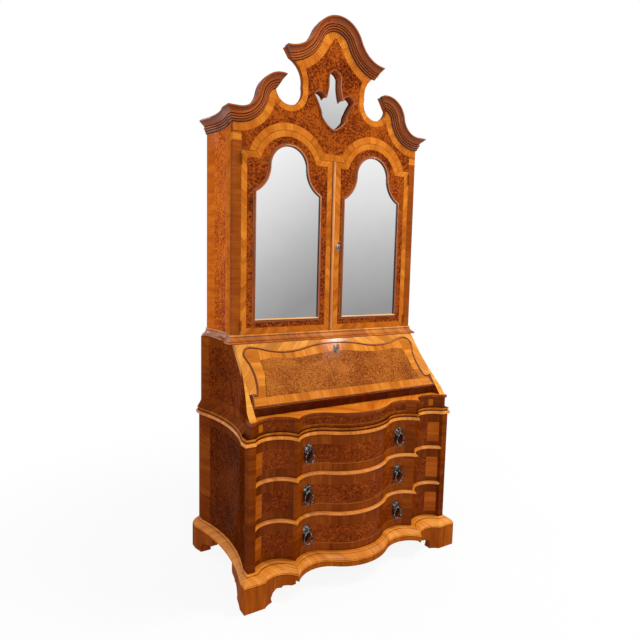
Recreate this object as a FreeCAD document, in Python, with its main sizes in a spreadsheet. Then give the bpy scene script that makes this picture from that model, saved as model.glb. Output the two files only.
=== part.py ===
import FreeCAD, Part
import Sketcher
import math
import os
from FreeCAD import Placement, Rotation, Vector

# Bureau cabinet in three stages: a chest of three serpentine drawers on bracket feet, a slant-front
# writing section, and an upper case with two mirrored arched doors under a shaped pediment.
# X is to the right, Y to the back, Z up, in millimetres. The origin is under the middle of the
# bounding box, on the floor. "Depth" below always means the distance in front of the back plane.

doc = FreeCAD.newDocument("bureau_cabinet")
sheet = doc.addObject("Spreadsheet::Sheet", "sizes")

SIZES = {
    # plan of the chest front: corner flat, two hollows and the middle bow
    "corner_half_width": 540.0,
    "side_mid_half_width": 500.0,
    "side_flat_length": 45.0,
    "corner_depth": 590.0,
    "outer_hollow_place": 425.0,
    "outer_hollow_floor": 547.0,
    "outer_hollow_radius": 101.0,
    "inner_hollow_place": 235.0,
    "inner_hollow_floor": 572.0,
    "inner_hollow_radius": 110.0,
    "bow_depth": 656.0,
    # the same plan at the lip of the plinth
    "plinth_half_width": 574.0,
    "plinth_side_mid": 534.0,
    "plinth_corner_depth": 634.0,
    "plinth_outer_place": 419.0,
    "plinth_outer_floor": 609.0,
    "plinth_outer_radius": 90.0,
    "plinth_inner_place": 228.0,
    "plinth_inner_floor": 608.0,
    "plinth_inner_radius": 142.0,
    "plinth_bow_depth": 683.0,
    # feet and plinth
    "foot_height": 106.0,
    "foot_side_length": 119.0,
    "foot_wall": 45.0,
    "foot_front_wall": 59.0,
    "foot_scroll_reach": 228.0,
    "back_foot_length": 90.0,
    "back_foot_width": 62.0,
    "plinth_height": 36.0,
    "apron_height": 20.0,
    "apron_wall": 34.0,
    # chest of drawers
    "carcass_front": 512.0,
    "case_inner": 468.0,
    "post_inner": 508.0,
    "back_thickness": 18.0,
    "board_thickness": 16.0,
    "bottom_thickness": 22.0,
    "face_set_back": 12.0,
    "bead_height": 12.0,
    "bottom_drawer_height": 165.0,
    "middle_drawer_height": 169.0,
    "top_drawer_height": 164.0,
    "drawer_gap": 1.0,
    "drawer_slip": 0.3,
    "drawer_side_gap": 3.0,
    "drawer_wall": 12.0,
    "drawer_floor": 8.0,
    "drawer_front_back": 514.0,
    "drawer_head_room": 12.0,
    # waist, frieze and ledge
    "waist_height": 33.0,
    "waist_lip": 15.0,
    "waist_cove_rise": 30.0,
    "frieze_height": 52.0,
    "ledge_thickness": 15.0,
    # slant-front section
    "bureau_half_width": 530.0,
    "bureau_mid_half_width": 490.0,
    "cheek_inner": 499.0,
    "slope_foot_depth": 569.0,
    "slope_foot_rise": 3.0,
    "slope_top_depth": 338.0,
    "bureau_height": 1048.0,
    "bureau_top_thickness": 22.0,
    "fall_thickness": 22.0,
    "fall_half_width": 497.0,
    "fall_length": 307.0,
    "fall_crown": 14.0,
    "fall_trough": 47.0,
    "fall_trough_place": 255.0,
    "fall_trough_radius": 350.0,
    "fall_gap": 1.2,
    "fall_bead_width": 9.0,
    "fall_bead_height": 4.5,
    "writing_board_gap": 1.0,
    # hinges of the fall
    "knuckle_radius": 2.8,
    "knuckle_room": 0.4,
    "fall_hinge_length": 60.0,
    "fall_hinge_place": 350.0,
    "fall_leaf_width": 26.0,
    "fall_leaf_thickness": 1.5,
    # key and its plate
    "key_place": 60.0,
    "key_radius": 2.5,
    "key_clearance": 0.06,
    "key_sink": 12.0,
    "key_reach": 14.0,
    "key_bow_radius": 9.0,
    "key_bow_wire": 2.2,
    "fall_plate_radius": 17.0,
    "plate_thickness": 2.0,
    # fitted interior
    "fitting_front": 280.0,
    "fitting_wall": 8.0,
    "fitting_well_half": 150.0,
    "inner_drawer_height": 62.0,
    "inner_drawer_gap": 0.4,
    "inner_drawer_wall": 7.0,
    "inner_knob_radius": 6.0,
    # upper case
    "upper_half_width": 501.0,
    "upper_mid_half_width": 481.0,
    "upper_depth": 312.0,
    "upper_inner": 463.0,
    "upper_side_flat": 28.0,
    "upper_base_height": 39.0,
    "upper_base_flare": 24.0,
    "stile_inner": 462.0,
    "face_thickness": 24.0,
    "stile_top_drop": 517.0,
    "upper_board": 18.0,
    "shelf_low_share": 253 / 913,
    "shelf_high_share": 523 / 913,
    "shelf_set_back": 4.0,
    # doors
    "ear_drop": 636.0,
    "arch_radius": 172.0,
    "arch_drop": 527.0,
    "door_gap": 0.9,
    "door_hinge_gap": 0.6,
    "arch_gap": 1.6,
    "mirror_half_width": 160.0,
    "mirror_bottom": 1154.0,
    "mirror_top_drop": 597.0,
    "mirror_arc_radius": 88.0,
    "mirror_reverse_radius": 136.0,
    "mirror_thickness": 4.0,
    "mirror_bead_width": 10.0,
    "mirror_bead_height": 6.0,
    "astragal_width": 15.0,
    "astragal_height": 5.0,
    "hinge_stand": 4.8,
    "hinge_barrel_radius": 3.6,
    "hinge_barrel_length": 46.0,
    "hinge_ball_radius": 4.4,
    "hinge_leaf_thickness": 1.4,
    "hinge_leaf_depth": 20.0,
    "low_hinge_height": 1100.0,
    "high_hinge_drop": 695.0,
    "keyhole_height": 1487.0,
    "keyhole_place": 43.0,
    "door_plate_radius": 12.0,
    "keyhole_radius": 2.6,
    # pediment
    "moulding_width": 60.0,
    "moulding_reach": 36.0,
    "neck_dip_place": 488.0,
    "neck_dip_drop": 467.0,
    "neck_dip_radius": 94.0,
    "neck_crown_place": 285.0,
    "neck_crown_drop": 297.0,
    "neck_tip_place": 263.0,
    "neck_cut_place": 300.0,
    "crest_height": 2517.0,
    "crest_radius": 134.0,
    "crest_tip_place": 262.0,
    "crest_tip_drop": 174.0,
    "crest_cut_place": 234.0,
    "board_lip": 3.0,
    "void_upper_place": 272.0,
    "void_upper_drop": 312.0,
    "void_upper_radius": 104.0,
    "void_lower_place": 235.0,
    "void_lower_drop": 349.0,
    "void_lower_radius": 68.0,
    "cartouche_drop": 497.0,
    "cartouche_height": 271.0,
    "cartouche_half_width": 110.0,
    "cartouche_rim_width": 8.0,
    "cartouche_rim_height": 7.0,
    # drawer handles
    "handle_place": 250.0,
    "handle_plane": 579.0,
    "rosette_radius": 20.0,
    "rosette_seat": 561.0,
    "rosette_thickness": 7.0,
    "handle_rise": 24.0,
    "post_radius": 4.0,
    "post_eye_radius": 5.2,
    "post_eye_width": 9.0,
    "bail_wire": 2.5,
    "bail_pin_half": 10.5,
    "bail_corner": 5.0,
    "bail_drop": 37.0,
    "bail_bow_radius": 24.0,
    # cutting overrun
    "overrun": 200.0,
}

for row, (name, value) in enumerate(SIZES.items(), start=1):
    sheet.set("A%d" % row, name)
    sheet.set("B%d" % row, "%.10g" % value)
    sheet.setAlias("B%d" % row, name)
doc.recompute()


class Sheet:
    """Reads a named size back from the spreadsheet."""

    def __getattr__(self, name):
        return float(sheet.get(name))


S = Sheet()

# Shapes given as shares of the sizes they follow

# lower edge of a bracket foot from its toe to the apron: shares of (scroll reach, foot height)
FOOT_SCROLL_SHARES = [(0.408, 0.0), (0.434, 0.189), (0.39, 0.377), (0.311, 0.509), (0.215, 0.491),
                      (0.189, 0.566), (0.048, 0.585), (0.0, 0.679)]
# outer edge of the fall: shares of (half width, length from the top)
FALL_EDGE_SHARES = {"horn": (0.986, 0.798), "notch": (0.932, 0.792), "side": (0.910, 0.521),
                    "neck": (0.954, 0.208), "shoulder": (0.930, 0.085), "top": (0.841, 0.046),
                    "curl": (0.7545, 0.081), "cusp": 0.718}
# profile of the pediment mouldings from the top edge inwards: shares of (width, reach)
CORNICE_SHARES = [(0.0, 0.0), (0.0, 1.0), (0.13, 1.0), (0.16, 0.86), (0.27, 0.8), (0.4, 0.62), (0.52, 0.4),
                  (0.6, 0.36), (0.66, 0.3), (0.8, 0.24), (0.9, 0.14), (1.0, 0.1), (1.0, 0.0)]
# profile of the side cornice from its foot up: shares of (height, reach)
SIDE_CORNICE_SHARES = [(0.0, 0.1), (0.1, 0.14), (0.2, 0.24), (0.34, 0.3), (0.4, 0.36), (0.48, 0.4),
                       (0.6, 0.62), (0.73, 0.8), (0.84, 0.86), (0.87, 1.0), (1.0, 1.0)]
# profile of the plinth from its foot up: shares of (height, way from the chest line to the lip)
PLINTH_SHARES = [(0.0, 0.92), (0.08, 1.0), (0.2, 1.0), (0.3, 0.96), (0.5, 0.86), (0.7, 0.66), (0.86, 0.36),
                 (0.94, 0.16), (1.0, 0.12)]
# profile of the waist from its foot up: shares of (height, lip at the side), set-back in bead heights
WAIST_SHARES = [(0.0, 0.8, 0.2), (0.09, 1.0, 0.0), (0.42, 1.0, 0.0), (0.5, 0.8, 0.25), (0.58, 0.55, 0.6),
                (0.7, 0.42, 0.7), (0.74, 0.55, 0.3), (0.82, 0.6, 0.2), (1.0, 0.5, 0.2)]
# cove of the waist at the sides: shares of (rise, way from the lip's top in to the bureau's side)
WAIST_COVE_SHARES = [(0.3, 0.35), (0.6, 0.68), (1.0, 1.0)]
# edge bead of the ledge: shares of (thickness, bead height held back)
LEDGE_SHARES = [(0.0, 0.25), (0.25, 0.04), (0.5, 0.0), (0.75, 0.04), (1.0, 0.25)]
# half-round bead: shares of (half height, half height outwards)
HALF_ROUND_SHARES = [(-1.0, 0.0), (-0.87, 0.5), (-0.5, 0.87), (0.0, 1.0), (0.5, 0.87), (0.87, 0.5), (1.0, 0.0)]
# half-round band on a face: shares of (half width from its middle line, height)
BAND_SHARES = [(1.0, 0.0), (0.87, 0.5), (0.5, 0.87), (0.1, 1.0)]
# base moulding of the upper case from its foot up: shares of (height, flare)
UPPER_BASE_SHARES = [(0.0, 0.9), (0.06, 1.0), (0.22, 1.0), (0.28, 0.82), (0.42, 0.5), (0.6, 0.28), (0.8, 0.18),
                     (0.86, 0.22), (0.96, 0.22), (1.0, 0.1)]
# right half of the mirrored cartouche, top to bottom: shares of (half width, height)
CARTOUCHE_SHARES = [((0.0, 1.0), (0.218, 0.952), (0.3, 0.849)), ((0.3, 0.849), (0.318, 0.694), (0.418, 0.531)),
                    ((0.418, 0.531), (0.745, 0.616), (1.0, 0.539)), ((1.0, 0.539), (0.836, 0.435), (0.727, 0.343)),
                    ((0.727, 0.343), (0.645, 0.273), (0.627, 0.203)), ((0.627, 0.203), (0.555, 0.166)),
                    ((0.555, 0.166), (0.345, 0.081), (0.0, 0.0))]

# a cutting line runs on past its ends by this many times its own length
CUT_STRETCH = 3

# Heights that follow from the sizes above
plinth_top = S.foot_height + S.plinth_height
low_board = plinth_top + S.bottom_drawer_height
mid_board = low_board + S.board_thickness + S.middle_drawer_height
waist_foot = mid_board + S.board_thickness + S.top_drawer_height
waist_top = waist_foot + S.waist_height
ledge_foot = waist_top + S.frieze_height
ledge_top = ledge_foot + S.ledge_thickness
slope_foot = ledge_top + S.slope_foot_rise
upper_foot = S.bureau_height + S.upper_base_height

# Heights of the doors' heads and of the pediment: each hangs from the crest by its own drop
stile_top = S.crest_height - S.stile_top_drop
ear_height = S.crest_height - S.ear_drop
arch_height = S.crest_height - S.arch_drop
mirror_top = S.crest_height - S.mirror_top_drop
high_hinge_height = S.crest_height - S.high_hinge_drop
neck_dip_height = S.crest_height - S.neck_dip_drop
neck_crown_height = S.crest_height - S.neck_crown_drop
crest_tip_height = S.crest_height - S.crest_tip_drop
void_upper_height = S.crest_height - S.void_upper_drop
void_lower_height = S.crest_height - S.void_lower_drop
cartouche_low = S.crest_height - S.cartouche_drop


def at(x, depth, z):
    """A point from its place across, its depth in front of the back plane and its height."""
    return Vector(x, S.plinth_bow_depth / 2 - depth, z)


def line(a, b):
    return Part.LineSegment(a, b).toShape()


def arc(a, b, c):
    return Part.Arc(a, b, c).toShape()


def closed(points):
    return Part.makePolygon(points + points[:1])


def block(x0, x1, d0, d1, z0, z1):
    """A square block between two places across, two depths and two heights."""
    return Part.makeBox(x1 - x0, d1 - d0, z1 - z0, at(x0, d1, z0))


def front_prism(points, d0, d1):
    """A front view outline of (x, z) points carried from depth d0 to depth d1."""
    face = Part.Face(closed([at(x, d0, z) for x, z in points]))
    return face.extrude(Vector(0, d0 - d1, 0))


def side_prism(points, x0, x1):
    """A side view outline of (depth, z) points carried from x0 to x1."""
    face = Part.Face(closed([at(x0, d, z) for d, z in points]))
    return face.extrude(Vector(x1 - x0, 0, 0))


def plan_prism(points, z0, z1):
    """A plan view outline of (x, depth) points carried from z0 to z1."""
    face = Part.Face(closed([at(x, d, z0) for x, d in points]))
    return face.extrude(Vector(0, 0, z1 - z0))


def mirrored(shape):
    return shape.mirror(Vector(0, 0, 0), Vector(1, 0, 0))


def both(shape):
    """A shape and its mirror image as two separate solids."""
    return Part.Compound(solids(shape) + solids(mirrored(shape)))


def solids(shape):
    return list(shape.Solids)


def grown_circle_hit(x1, c1, r1, x2, c2, r2):
    """The crossing of two circles in plan that lies nearer the back."""
    span = math.hypot(x2 - x1, c2 - c1)
    along = (span * span + r1 * r1 - r2 * r2) / (2 * span)
    off = math.sqrt(r1 * r1 - along * along)
    ux, uc = (x2 - x1) / span, (c2 - c1) / span
    hits = [(x1 + ux * along - uc * off * k, c1 + uc * along + ux * off * k) for k in (1, -1)]
    return min(hits, key=lambda hit: hit[1])


def tangent_radius(place, floor_centre, radius, crown):
    """Radius of a crown on the middle line that touches a hollow circle at one side."""
    rise = floor_centre - crown
    return (place * place + rise * rise - radius * radius) / (2 * (radius - rise))


class Plan:
    """A level of the serpentine plan, from its corner, its two hollows and its bow."""

    NAMES = ("half", "mid", "corner", "place_1", "floor_1", "radius_1", "place_2", "floor_2", "radius_2", "bow")

    def __init__(self, *values):
        for name, value in zip(self.NAMES, values):
            setattr(self, name, value)

    def towards(self, other, share):
        pairs = [(getattr(self, n), getattr(other, n)) for n in self.NAMES]
        return Plan(*[a + (b - a) * share for a, b in pairs])

    def grown(self, front, side=0.0):
        """The same curve moved out by the front value, and its sides by the side value."""
        return Plan(self.half + side, self.mid + side, self.corner + front, self.place_1, self.floor_1 + front,
                    self.radius_1 - front, self.place_2, self.floor_2 + front, self.radius_2 - front,
                    self.bow + front)

    def narrowed(self, half, mid):
        return Plan(half, mid, *[getattr(self, n) for n in self.NAMES[2:]])

    def keys(self):
        """The points of the right half, corner to middle, as (x, depth)."""
        c1 = self.floor_1 + self.radius_1
        c2 = self.floor_2 + self.radius_2
        flat = self.place_1 + math.sqrt(self.radius_1 ** 2 - (c1 - self.corner) ** 2)
        cusp = grown_circle_hit(self.place_1, c1, self.radius_1, self.place_2, c2, self.radius_2)
        bow_radius = tangent_radius(self.place_2, c2, self.radius_2, self.bow)
        share = self.radius_2 / (self.radius_2 + bow_radius)
        touch = (self.place_2 * (1 - share), c2 + (self.bow - bow_radius - c2) * share)
        return [(flat, self.corner), (self.place_1, self.floor_1), cusp, (self.place_2, self.floor_2), touch]

    def depth(self, x):
        """Depth of the front curve at a place across, within the inner hollow."""
        c2 = self.floor_2 + self.radius_2
        return c2 - math.sqrt(self.radius_2 ** 2 - (x - self.place_2) ** 2)

    def front_edges(self, z):
        """The front curve's arcs from right to left at height z."""
        right = self.keys()
        left = [(-x, d) for x, d in right]
        p = [at(x, d, z) for x, d in right]
        q = [at(x, d, z) for x, d in left]
        return [arc(p[0], p[1], p[2]), arc(p[2], p[3], p[4]), arc(p[4], at(0, self.bow, z), q[4]),
                arc(q[4], q[3], q[2]), arc(q[2], q[1], q[0])]

    def wire(self, z):
        """The closed plan at height z: back, hollow sides and serpentine front."""
        flat = S.side_flat_length
        far = self.corner - flat
        edges = self.front_edges(z)
        flat_x = self.keys()[0][0]
        right = [at(self.half, 0, z), at(self.half, flat, z), at(self.half, far, z), at(self.half, self.corner, z)]
        left = [at(-self.half, 0, z), at(-self.half, flat, z), at(-self.half, far, z),
                at(-self.half, self.corner, z)]
        middle = (flat + far) / 2
        side = [line(right[0], right[1]), arc(right[1], at(self.mid, middle, z), right[2]),
                line(right[2], right[3]), line(right[3], at(flat_x, self.corner, z))]
        back = [line(at(-flat_x, self.corner, z), left[3]), line(left[3], left[2]),
                arc(left[2], at(-self.mid, middle, z), left[1]), line(left[1], left[0]), line(left[0], right[0])]
        return Part.Wire(side + edges + back)


class StraightPlan:
    """A level of the upper case: hollow sides and a straight front."""

    def __init__(self, half, mid, front):
        self.half, self.mid, self.front = half, mid, front

    def grown(self, amount):
        return StraightPlan(self.half + amount, self.mid + amount, self.front + amount)

    def wire(self, z):
        flat, far = S.upper_side_flat, S.upper_depth - S.upper_side_flat
        middle = (flat + far) / 2
        edges = []
        for sign in (1, -1):
            half, mid = sign * self.half, sign * self.mid
            run = [line(at(half, 0, z), at(half, flat, z)), arc(at(half, flat, z), at(mid, middle, z), at(half, far, z)),
                   line(at(half, far, z), at(half, self.front, z))]
            edges.append(run)
        return Part.Wire(edges[0] + [line(at(self.half, self.front, z), at(-self.half, self.front, z))]
                         + edges[1][::-1] + [line(at(-self.half, 0, z), at(self.half, 0, z))])


def stack(levels):
    """A solid through plan curves at rising heights, given as (plan, z)."""
    return Part.makeLoft([plan.wire(z) for plan, z in levels], True, True)


def swept(path, profile):
    """A profile carried along a path, mitred where the path has a corner."""
    shell = Part.BRepOffsetAPI.MakePipeShell(path)
    shell.setTransitionMode(1)
    shell.add(profile)
    shell.build()
    shell.makeSolid()
    solid = shell.shape()
    if solid.Volume < 0:
        solid.reverse()
    return solid


def half_round(path, up, width, height):
    """A bead along a path: flat side towards minus up, centred on the path."""
    edge = path.OrderedEdges[0]
    start = edge.valueAt(edge.FirstParameter)
    along = edge.tangentAt(edge.FirstParameter)
    across = up.cross(along).normalize() * (width / 2)
    top = start + up * height
    profile = Part.Wire([arc(start + across, top, start - across), line(start - across, start + across)])
    return swept(path, profile)


def raised_band(face, up, edge, width, height):
    """A half-round band on a flat face, its outer side a given distance inside the outline."""
    outer, inner = [], []
    for across, rise in BAND_SHARES:
        lift = up * (rise * height)
        for levels, side in ((outer, -1), (inner, 1)):
            reach = edge + width / 2 + side * across * width / 2
            level = face.makeOffset2D(-reach, 0, False, False).Wires[0]
            levels.append(level.translated(lift))
    return Part.makeLoft(outer, True, True).cut(Part.makeLoft(inner, True, True))


FEATURES = []


def keep(feature, label):
    feature.Label = label
    FEATURES.append(feature)
    return feature


def shaped(label, shape, placement=None):
    """A piece whose shape is worked out by the functions above from the sheet's sizes."""
    feature = doc.addObject("Part::Feature", label)
    feature.Shape = shape
    feature.Placement = placement or Placement()
    return keep(feature, label)


def bound(feature, **texts):
    """Bind a feature's properties to expressions on the sheet."""
    for name, text in texts.items():
        feature.setExpression(name.replace("__", "."), text)
    return feature


def board(name, x, y, z, length, width, height):
    """A square board: a box whose corner and sides are expressions on the sheet."""
    box = doc.addObject("Part::Box", name)
    for axis, text in zip("xyz", (x, y, z)):
        box.setExpression("Placement.Base." + axis, text)
    return bound(box, Length=length, Width=width, Height=height)


def joined(kind, name, objects):
    feature = doc.addObject(kind, name)
    if kind == "Part::Cut":
        feature.Base, feature.Tool = objects
    elif kind == "Part::Compound":
        feature.Links = objects
    else:
        feature.Shapes = objects
    return feature


def centred_sketch(body, name, role, width, height, offset):
    """A rectangle centred on its sketch's origin, with both sides bound to the sheet."""
    sketch = body.newObject("Sketcher::SketchObject", name)
    plane = [o for o in body.Origin.OriginFeatures if o.Role == role][0]
    sketch.AttachmentSupport = [(plane, "")]
    sketch.MapMode = "FlatFace"
    for axis, text in zip("xyz", offset):
        sketch.setExpression("AttachmentOffset.Base." + axis, text)
    corners = [Vector(-1, -1, 0), Vector(1, -1, 0), Vector(1, 1, 0), Vector(-1, 1, 0)]
    for a, b in zip(corners, corners[1:] + corners[:1]):
        sketch.addGeometry(Part.LineSegment(a, b), False)
    for a, b in ((0, 1), (1, 2), (2, 3), (3, 0)):
        sketch.addConstraint(Sketcher.Constraint("Coincident", a, 2, b, 1))
    for kind, edge in (("Horizontal", 0), ("Horizontal", 2), ("Vertical", 1), ("Vertical", 3)):
        sketch.addConstraint(Sketcher.Constraint(kind, edge))
    sketch.addConstraint(Sketcher.Constraint("Symmetric", 0, 1, 2, 1, -1, 1))
    w = sketch.addConstraint(Sketcher.Constraint("DistanceX", 0, 1, 0, 2, 2.0))
    sketch.setExpression("Constraints[%d]" % w, width)
    h = sketch.addConstraint(Sketcher.Constraint("DistanceY", 1, 1, 1, 2, 2.0))
    sketch.setExpression("Constraints[%d]" % h, height)
    return sketch


def tray(name, width, depth, height, offset, wall, floor):
    """An open box of four walls and a floor: a padded block with its inside pocketed out."""
    body = doc.addObject("PartDesign::Body", name)
    outline = centred_sketch(body, name + "_outline", "XY_Plane", width, depth, offset)
    pad = bound(body.newObject("PartDesign::Pad", name + "_block"), Length=height)
    pad.Profile = outline
    x, y, z = offset
    top = (x, y, "%s + %s" % (z, height))
    inside = centred_sketch(body, name + "_inside", "XY_Plane", "%s - 2 * (%s)" % (width, wall),
                            "%s - 2 * (%s)" % (depth, wall), top)
    pocket = bound(body.newObject("PartDesign::Pocket", name + "_hollow"), Length="%s - (%s)" % (height, floor))
    pocket.Profile = inside
    return body


# Plans of the chest and of the plinth's lip
chest_plan = Plan(S.corner_half_width, S.side_mid_half_width, S.corner_depth, S.outer_hollow_place,
                  S.outer_hollow_floor, S.outer_hollow_radius, S.inner_hollow_place, S.inner_hollow_floor,
                  S.inner_hollow_radius, S.bow_depth)
plinth_plan = Plan(S.plinth_half_width, S.plinth_side_mid, S.plinth_corner_depth, S.plinth_outer_place,
                   S.plinth_outer_floor, S.plinth_outer_radius, S.plinth_inner_place, S.plinth_inner_floor,
                   S.plinth_inner_radius, S.plinth_bow_depth)
face_plan = chest_plan.grown(-S.face_set_back)
bureau_plan = chest_plan.narrowed(S.bureau_half_width, S.bureau_mid_half_width)
upper_plan = StraightPlan(S.upper_half_width, S.upper_mid_half_width, S.upper_depth)
far = S.plinth_half_width + S.overrun
front_far = S.plinth_bow_depth + S.overrun

# Bracket feet: a front wing with a scrolled lower edge and a side wing, mitred at the corner
foot_block = stack([(plinth_plan, 0), (plinth_plan, S.foot_height)])
scroll_foot = S.plinth_half_width - S.foot_scroll_reach


def scroll(start, share_sign):
    """Points of the scrolled edge, starting where the foot ends and rising to the apron."""
    return [(start + share_sign * x * S.foot_scroll_reach, z * S.foot_height) for x, z in FOOT_SCROLL_SHARES]


front_wing = front_prism([(far, 0)] + scroll(scroll_foot, 1) + [(scroll_foot, S.foot_height), (far, S.foot_height)],
                         S.plinth_corner_depth - S.foot_front_wall, front_far)
foot_back = S.plinth_corner_depth - S.foot_side_length
side_scroll_start = foot_back - FOOT_SCROLL_SHARES[0][0] * S.foot_scroll_reach
side_wing = side_prism([(front_far, 0)] + scroll(side_scroll_start, 1)
                       + [(side_scroll_start, S.foot_height), (front_far, S.foot_height)],
                       S.plinth_half_width - S.foot_wall, far)
front_foot = foot_block.common(front_wing.fuse(side_wing)).removeSplitter()
shaped("foot_front_right", front_foot)
shaped("foot_front_left", mirrored(front_foot))
back_scroll_end = S.back_foot_length + FOOT_SCROLL_SHARES[0][0] * S.foot_scroll_reach
back_wing = side_prism([(0, 0)] + scroll(back_scroll_end, -1) + [(back_scroll_end, S.foot_height), (0, S.foot_height)],
                       S.plinth_half_width - S.back_foot_width, far)
back_foot = foot_block.common(back_wing)
shaped("feet_back", both(back_foot))

# Plinth moulding with the narrow front apron below it
plinth_levels = []
for rise, way in PLINTH_SHARES:
    level = chest_plan.towards(plinth_plan, way)
    plinth_levels.append((level, S.foot_height + rise * S.plinth_height))
plinth_hole = block(-S.case_inner, S.case_inner, 0, S.carcass_front, S.foot_height, plinth_top)
apron_ends = [(-scroll_foot, S.foot_height - S.apron_height), (scroll_foot, S.foot_height - S.apron_height),
              (scroll_foot, S.foot_height), (-scroll_foot, S.foot_height)]
apron = foot_block.common(front_prism(apron_ends, S.plinth_inner_floor - S.apron_wall, front_far))
plinth = stack(plinth_levels).cut(plinth_hole).fuse(apron)
shaped("plinth_moulding", plinth)

# Chest sides, each with its corner post in front
chest_block = stack([(chest_plan, plinth_top), (chest_plan, waist_foot)])
panel = block(S.case_inner, far, 0, S.carcass_front, plinth_top, waist_foot)
post = block(S.post_inner, far, S.carcass_front, front_far, plinth_top, waist_foot)
chest_side = chest_block.common(panel.fuse(post)).removeSplitter()
shaped("chest_side_right", chest_side)
shaped("chest_side_left", mirrored(chest_side))

# Back panel of chest and bureau, between the sides
lower_back = board("lower_back", "-sizes.case_inner", "sizes.plinth_bow_depth / 2 - sizes.back_thickness",
                   "sizes.foot_height", "2 * sizes.case_inner", "sizes.back_thickness",
                   "sizes.bureau_height - sizes.foot_height")
keep(lower_back, "lower_back")

# Bottom, two dust boards and top of the chest
CASE_Y = "sizes.plinth_bow_depth / 2 - sizes.carcass_front"
CASE_DEEP = "sizes.carcass_front - sizes.back_thickness"
LOW_BOARD = "sizes.foot_height + sizes.plinth_height + sizes.bottom_drawer_height"
MID_BOARD = LOW_BOARD + " + sizes.board_thickness + sizes.middle_drawer_height"
WAIST_FOOT = MID_BOARD + " + sizes.board_thickness + sizes.top_drawer_height"
boards = [
    board("chest_bottom", "-sizes.case_inner", CASE_Y, "sizes.foot_height + sizes.plinth_height"
          " - sizes.bottom_thickness", "2 * sizes.case_inner", CASE_DEEP, "sizes.bottom_thickness"),
    board("dust_board_low", "-sizes.case_inner", CASE_Y, LOW_BOARD, "2 * sizes.case_inner", CASE_DEEP,
          "sizes.board_thickness"),
    board("dust_board_high", "-sizes.case_inner", CASE_Y, MID_BOARD, "2 * sizes.case_inner", CASE_DEEP,
          "sizes.board_thickness"),
    board("chest_top", "-sizes.case_inner", CASE_Y, WAIST_FOOT + " + sizes.waist_height - sizes.board_thickness",
          "2 * sizes.case_inner", CASE_DEEP, "sizes.board_thickness"),
]
keep(joined("Part::Compound", "drawer_boards", boards), "drawer_boards")

# Rails between the drawers, each with a bead along its serpentine face
rails = []
rail_plan = chest_plan.grown(-S.bead_height / 2)
for foot in (low_board, mid_board):
    middle = foot + S.board_thickness / 2
    levels = [(rail_plan.grown(out * S.bead_height / 2), middle + rise * S.bead_height / 2)
              for rise, out in HALF_ROUND_SHARES]
    bar = stack([(rail_plan, foot)] + levels + [(rail_plan, foot + S.board_thickness)])
    rails.append(bar.common(block(-S.post_inner, S.post_inner, S.carcass_front, front_far, foot,
                                  foot + S.board_thickness)))
shaped("drawer_rails", Part.Compound([r.Solids[0] for r in rails]))

# Waist moulding: two lips at the front, one lip and a tall cove at the sides
waist_levels = []
for rise, side, back in WAIST_SHARES:
    waist_levels.append((chest_plan.grown(-back * S.bead_height, side * S.waist_lip),
                         waist_foot + rise * S.waist_height))
top_half = waist_levels[-1][0].half
for rise, way in WAIST_COVE_SHARES:
    level = waist_levels[len(WAIST_SHARES) - 1][0]
    half = top_half + (S.bureau_half_width - top_half) * way
    waist_levels.append((level.narrowed(half, half - (S.corner_half_width - S.side_mid_half_width)),
                         waist_top + rise * S.waist_cove_rise))
waist = stack(waist_levels)
cove_top = waist_top + S.waist_cove_rise
waist = waist.cut(block(-S.case_inner, S.case_inner, 0, S.carcass_front, waist_foot, cove_top))
waist = waist.cut(block(-far, far, S.carcass_front, front_far, waist_top, cove_top))
waist = waist.cut(stack([(bureau_plan, waist_top), (bureau_plan, cove_top + S.overrun)]))
shaped("waist_moulding", waist)

# Frieze and ledge, both with the serpentine front
before = block(-far, far, S.carcass_front, front_far, waist_top, ledge_top)
frieze_plan = bureau_plan.grown(-S.face_set_back)
shaped("frieze_rail", stack([(frieze_plan, waist_top), (frieze_plan, ledge_foot)]).common(before))
ledge_levels = [(bureau_plan.grown(-back * S.bead_height), ledge_foot + rise * S.ledge_thickness)
                for rise, back in LEDGE_SHARES]
inner_ledge = block(-S.case_inner, S.case_inner, S.back_thickness, S.carcass_front, ledge_foot, ledge_top)
shaped("ledge_board", stack(ledge_levels).common(before.fuse(inner_ledge)))

# Slope of the bureau: a frame of reference at the middle of its top edge
slope_run = S.slope_foot_depth - S.slope_top_depth
slope_drop = S.bureau_height - slope_foot
slope_length = math.hypot(slope_run, slope_drop)
slope_angle = math.degrees(math.atan2(slope_drop, slope_run))
out_depth, out_rise = slope_drop / slope_length, slope_run / slope_length
slope_place = Placement(at(0, S.slope_top_depth, S.bureau_height), Rotation(Vector(1, 0, 0), slope_angle))
hinge_depth = S.slope_top_depth + S.fall_length * out_rise - S.fall_thickness * out_depth
hinge_height = S.bureau_height - S.fall_length * out_depth - S.fall_thickness * out_rise


def under_slope(x0, x1, set_in):
    """Everything behind the slope's outer plane moved in by a distance."""
    top = (S.slope_top_depth - set_in * out_depth, S.bureau_height - set_in * out_rise)
    reach = slope_length + S.overrun
    low = (top[0] + reach * out_rise, top[1] - reach * out_depth)
    high = (top[0] - S.overrun * out_rise, top[1] + S.overrun * out_depth)
    return side_prism([high, low, (0, low[1]), (0, high[1])], x0, x1)


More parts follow.
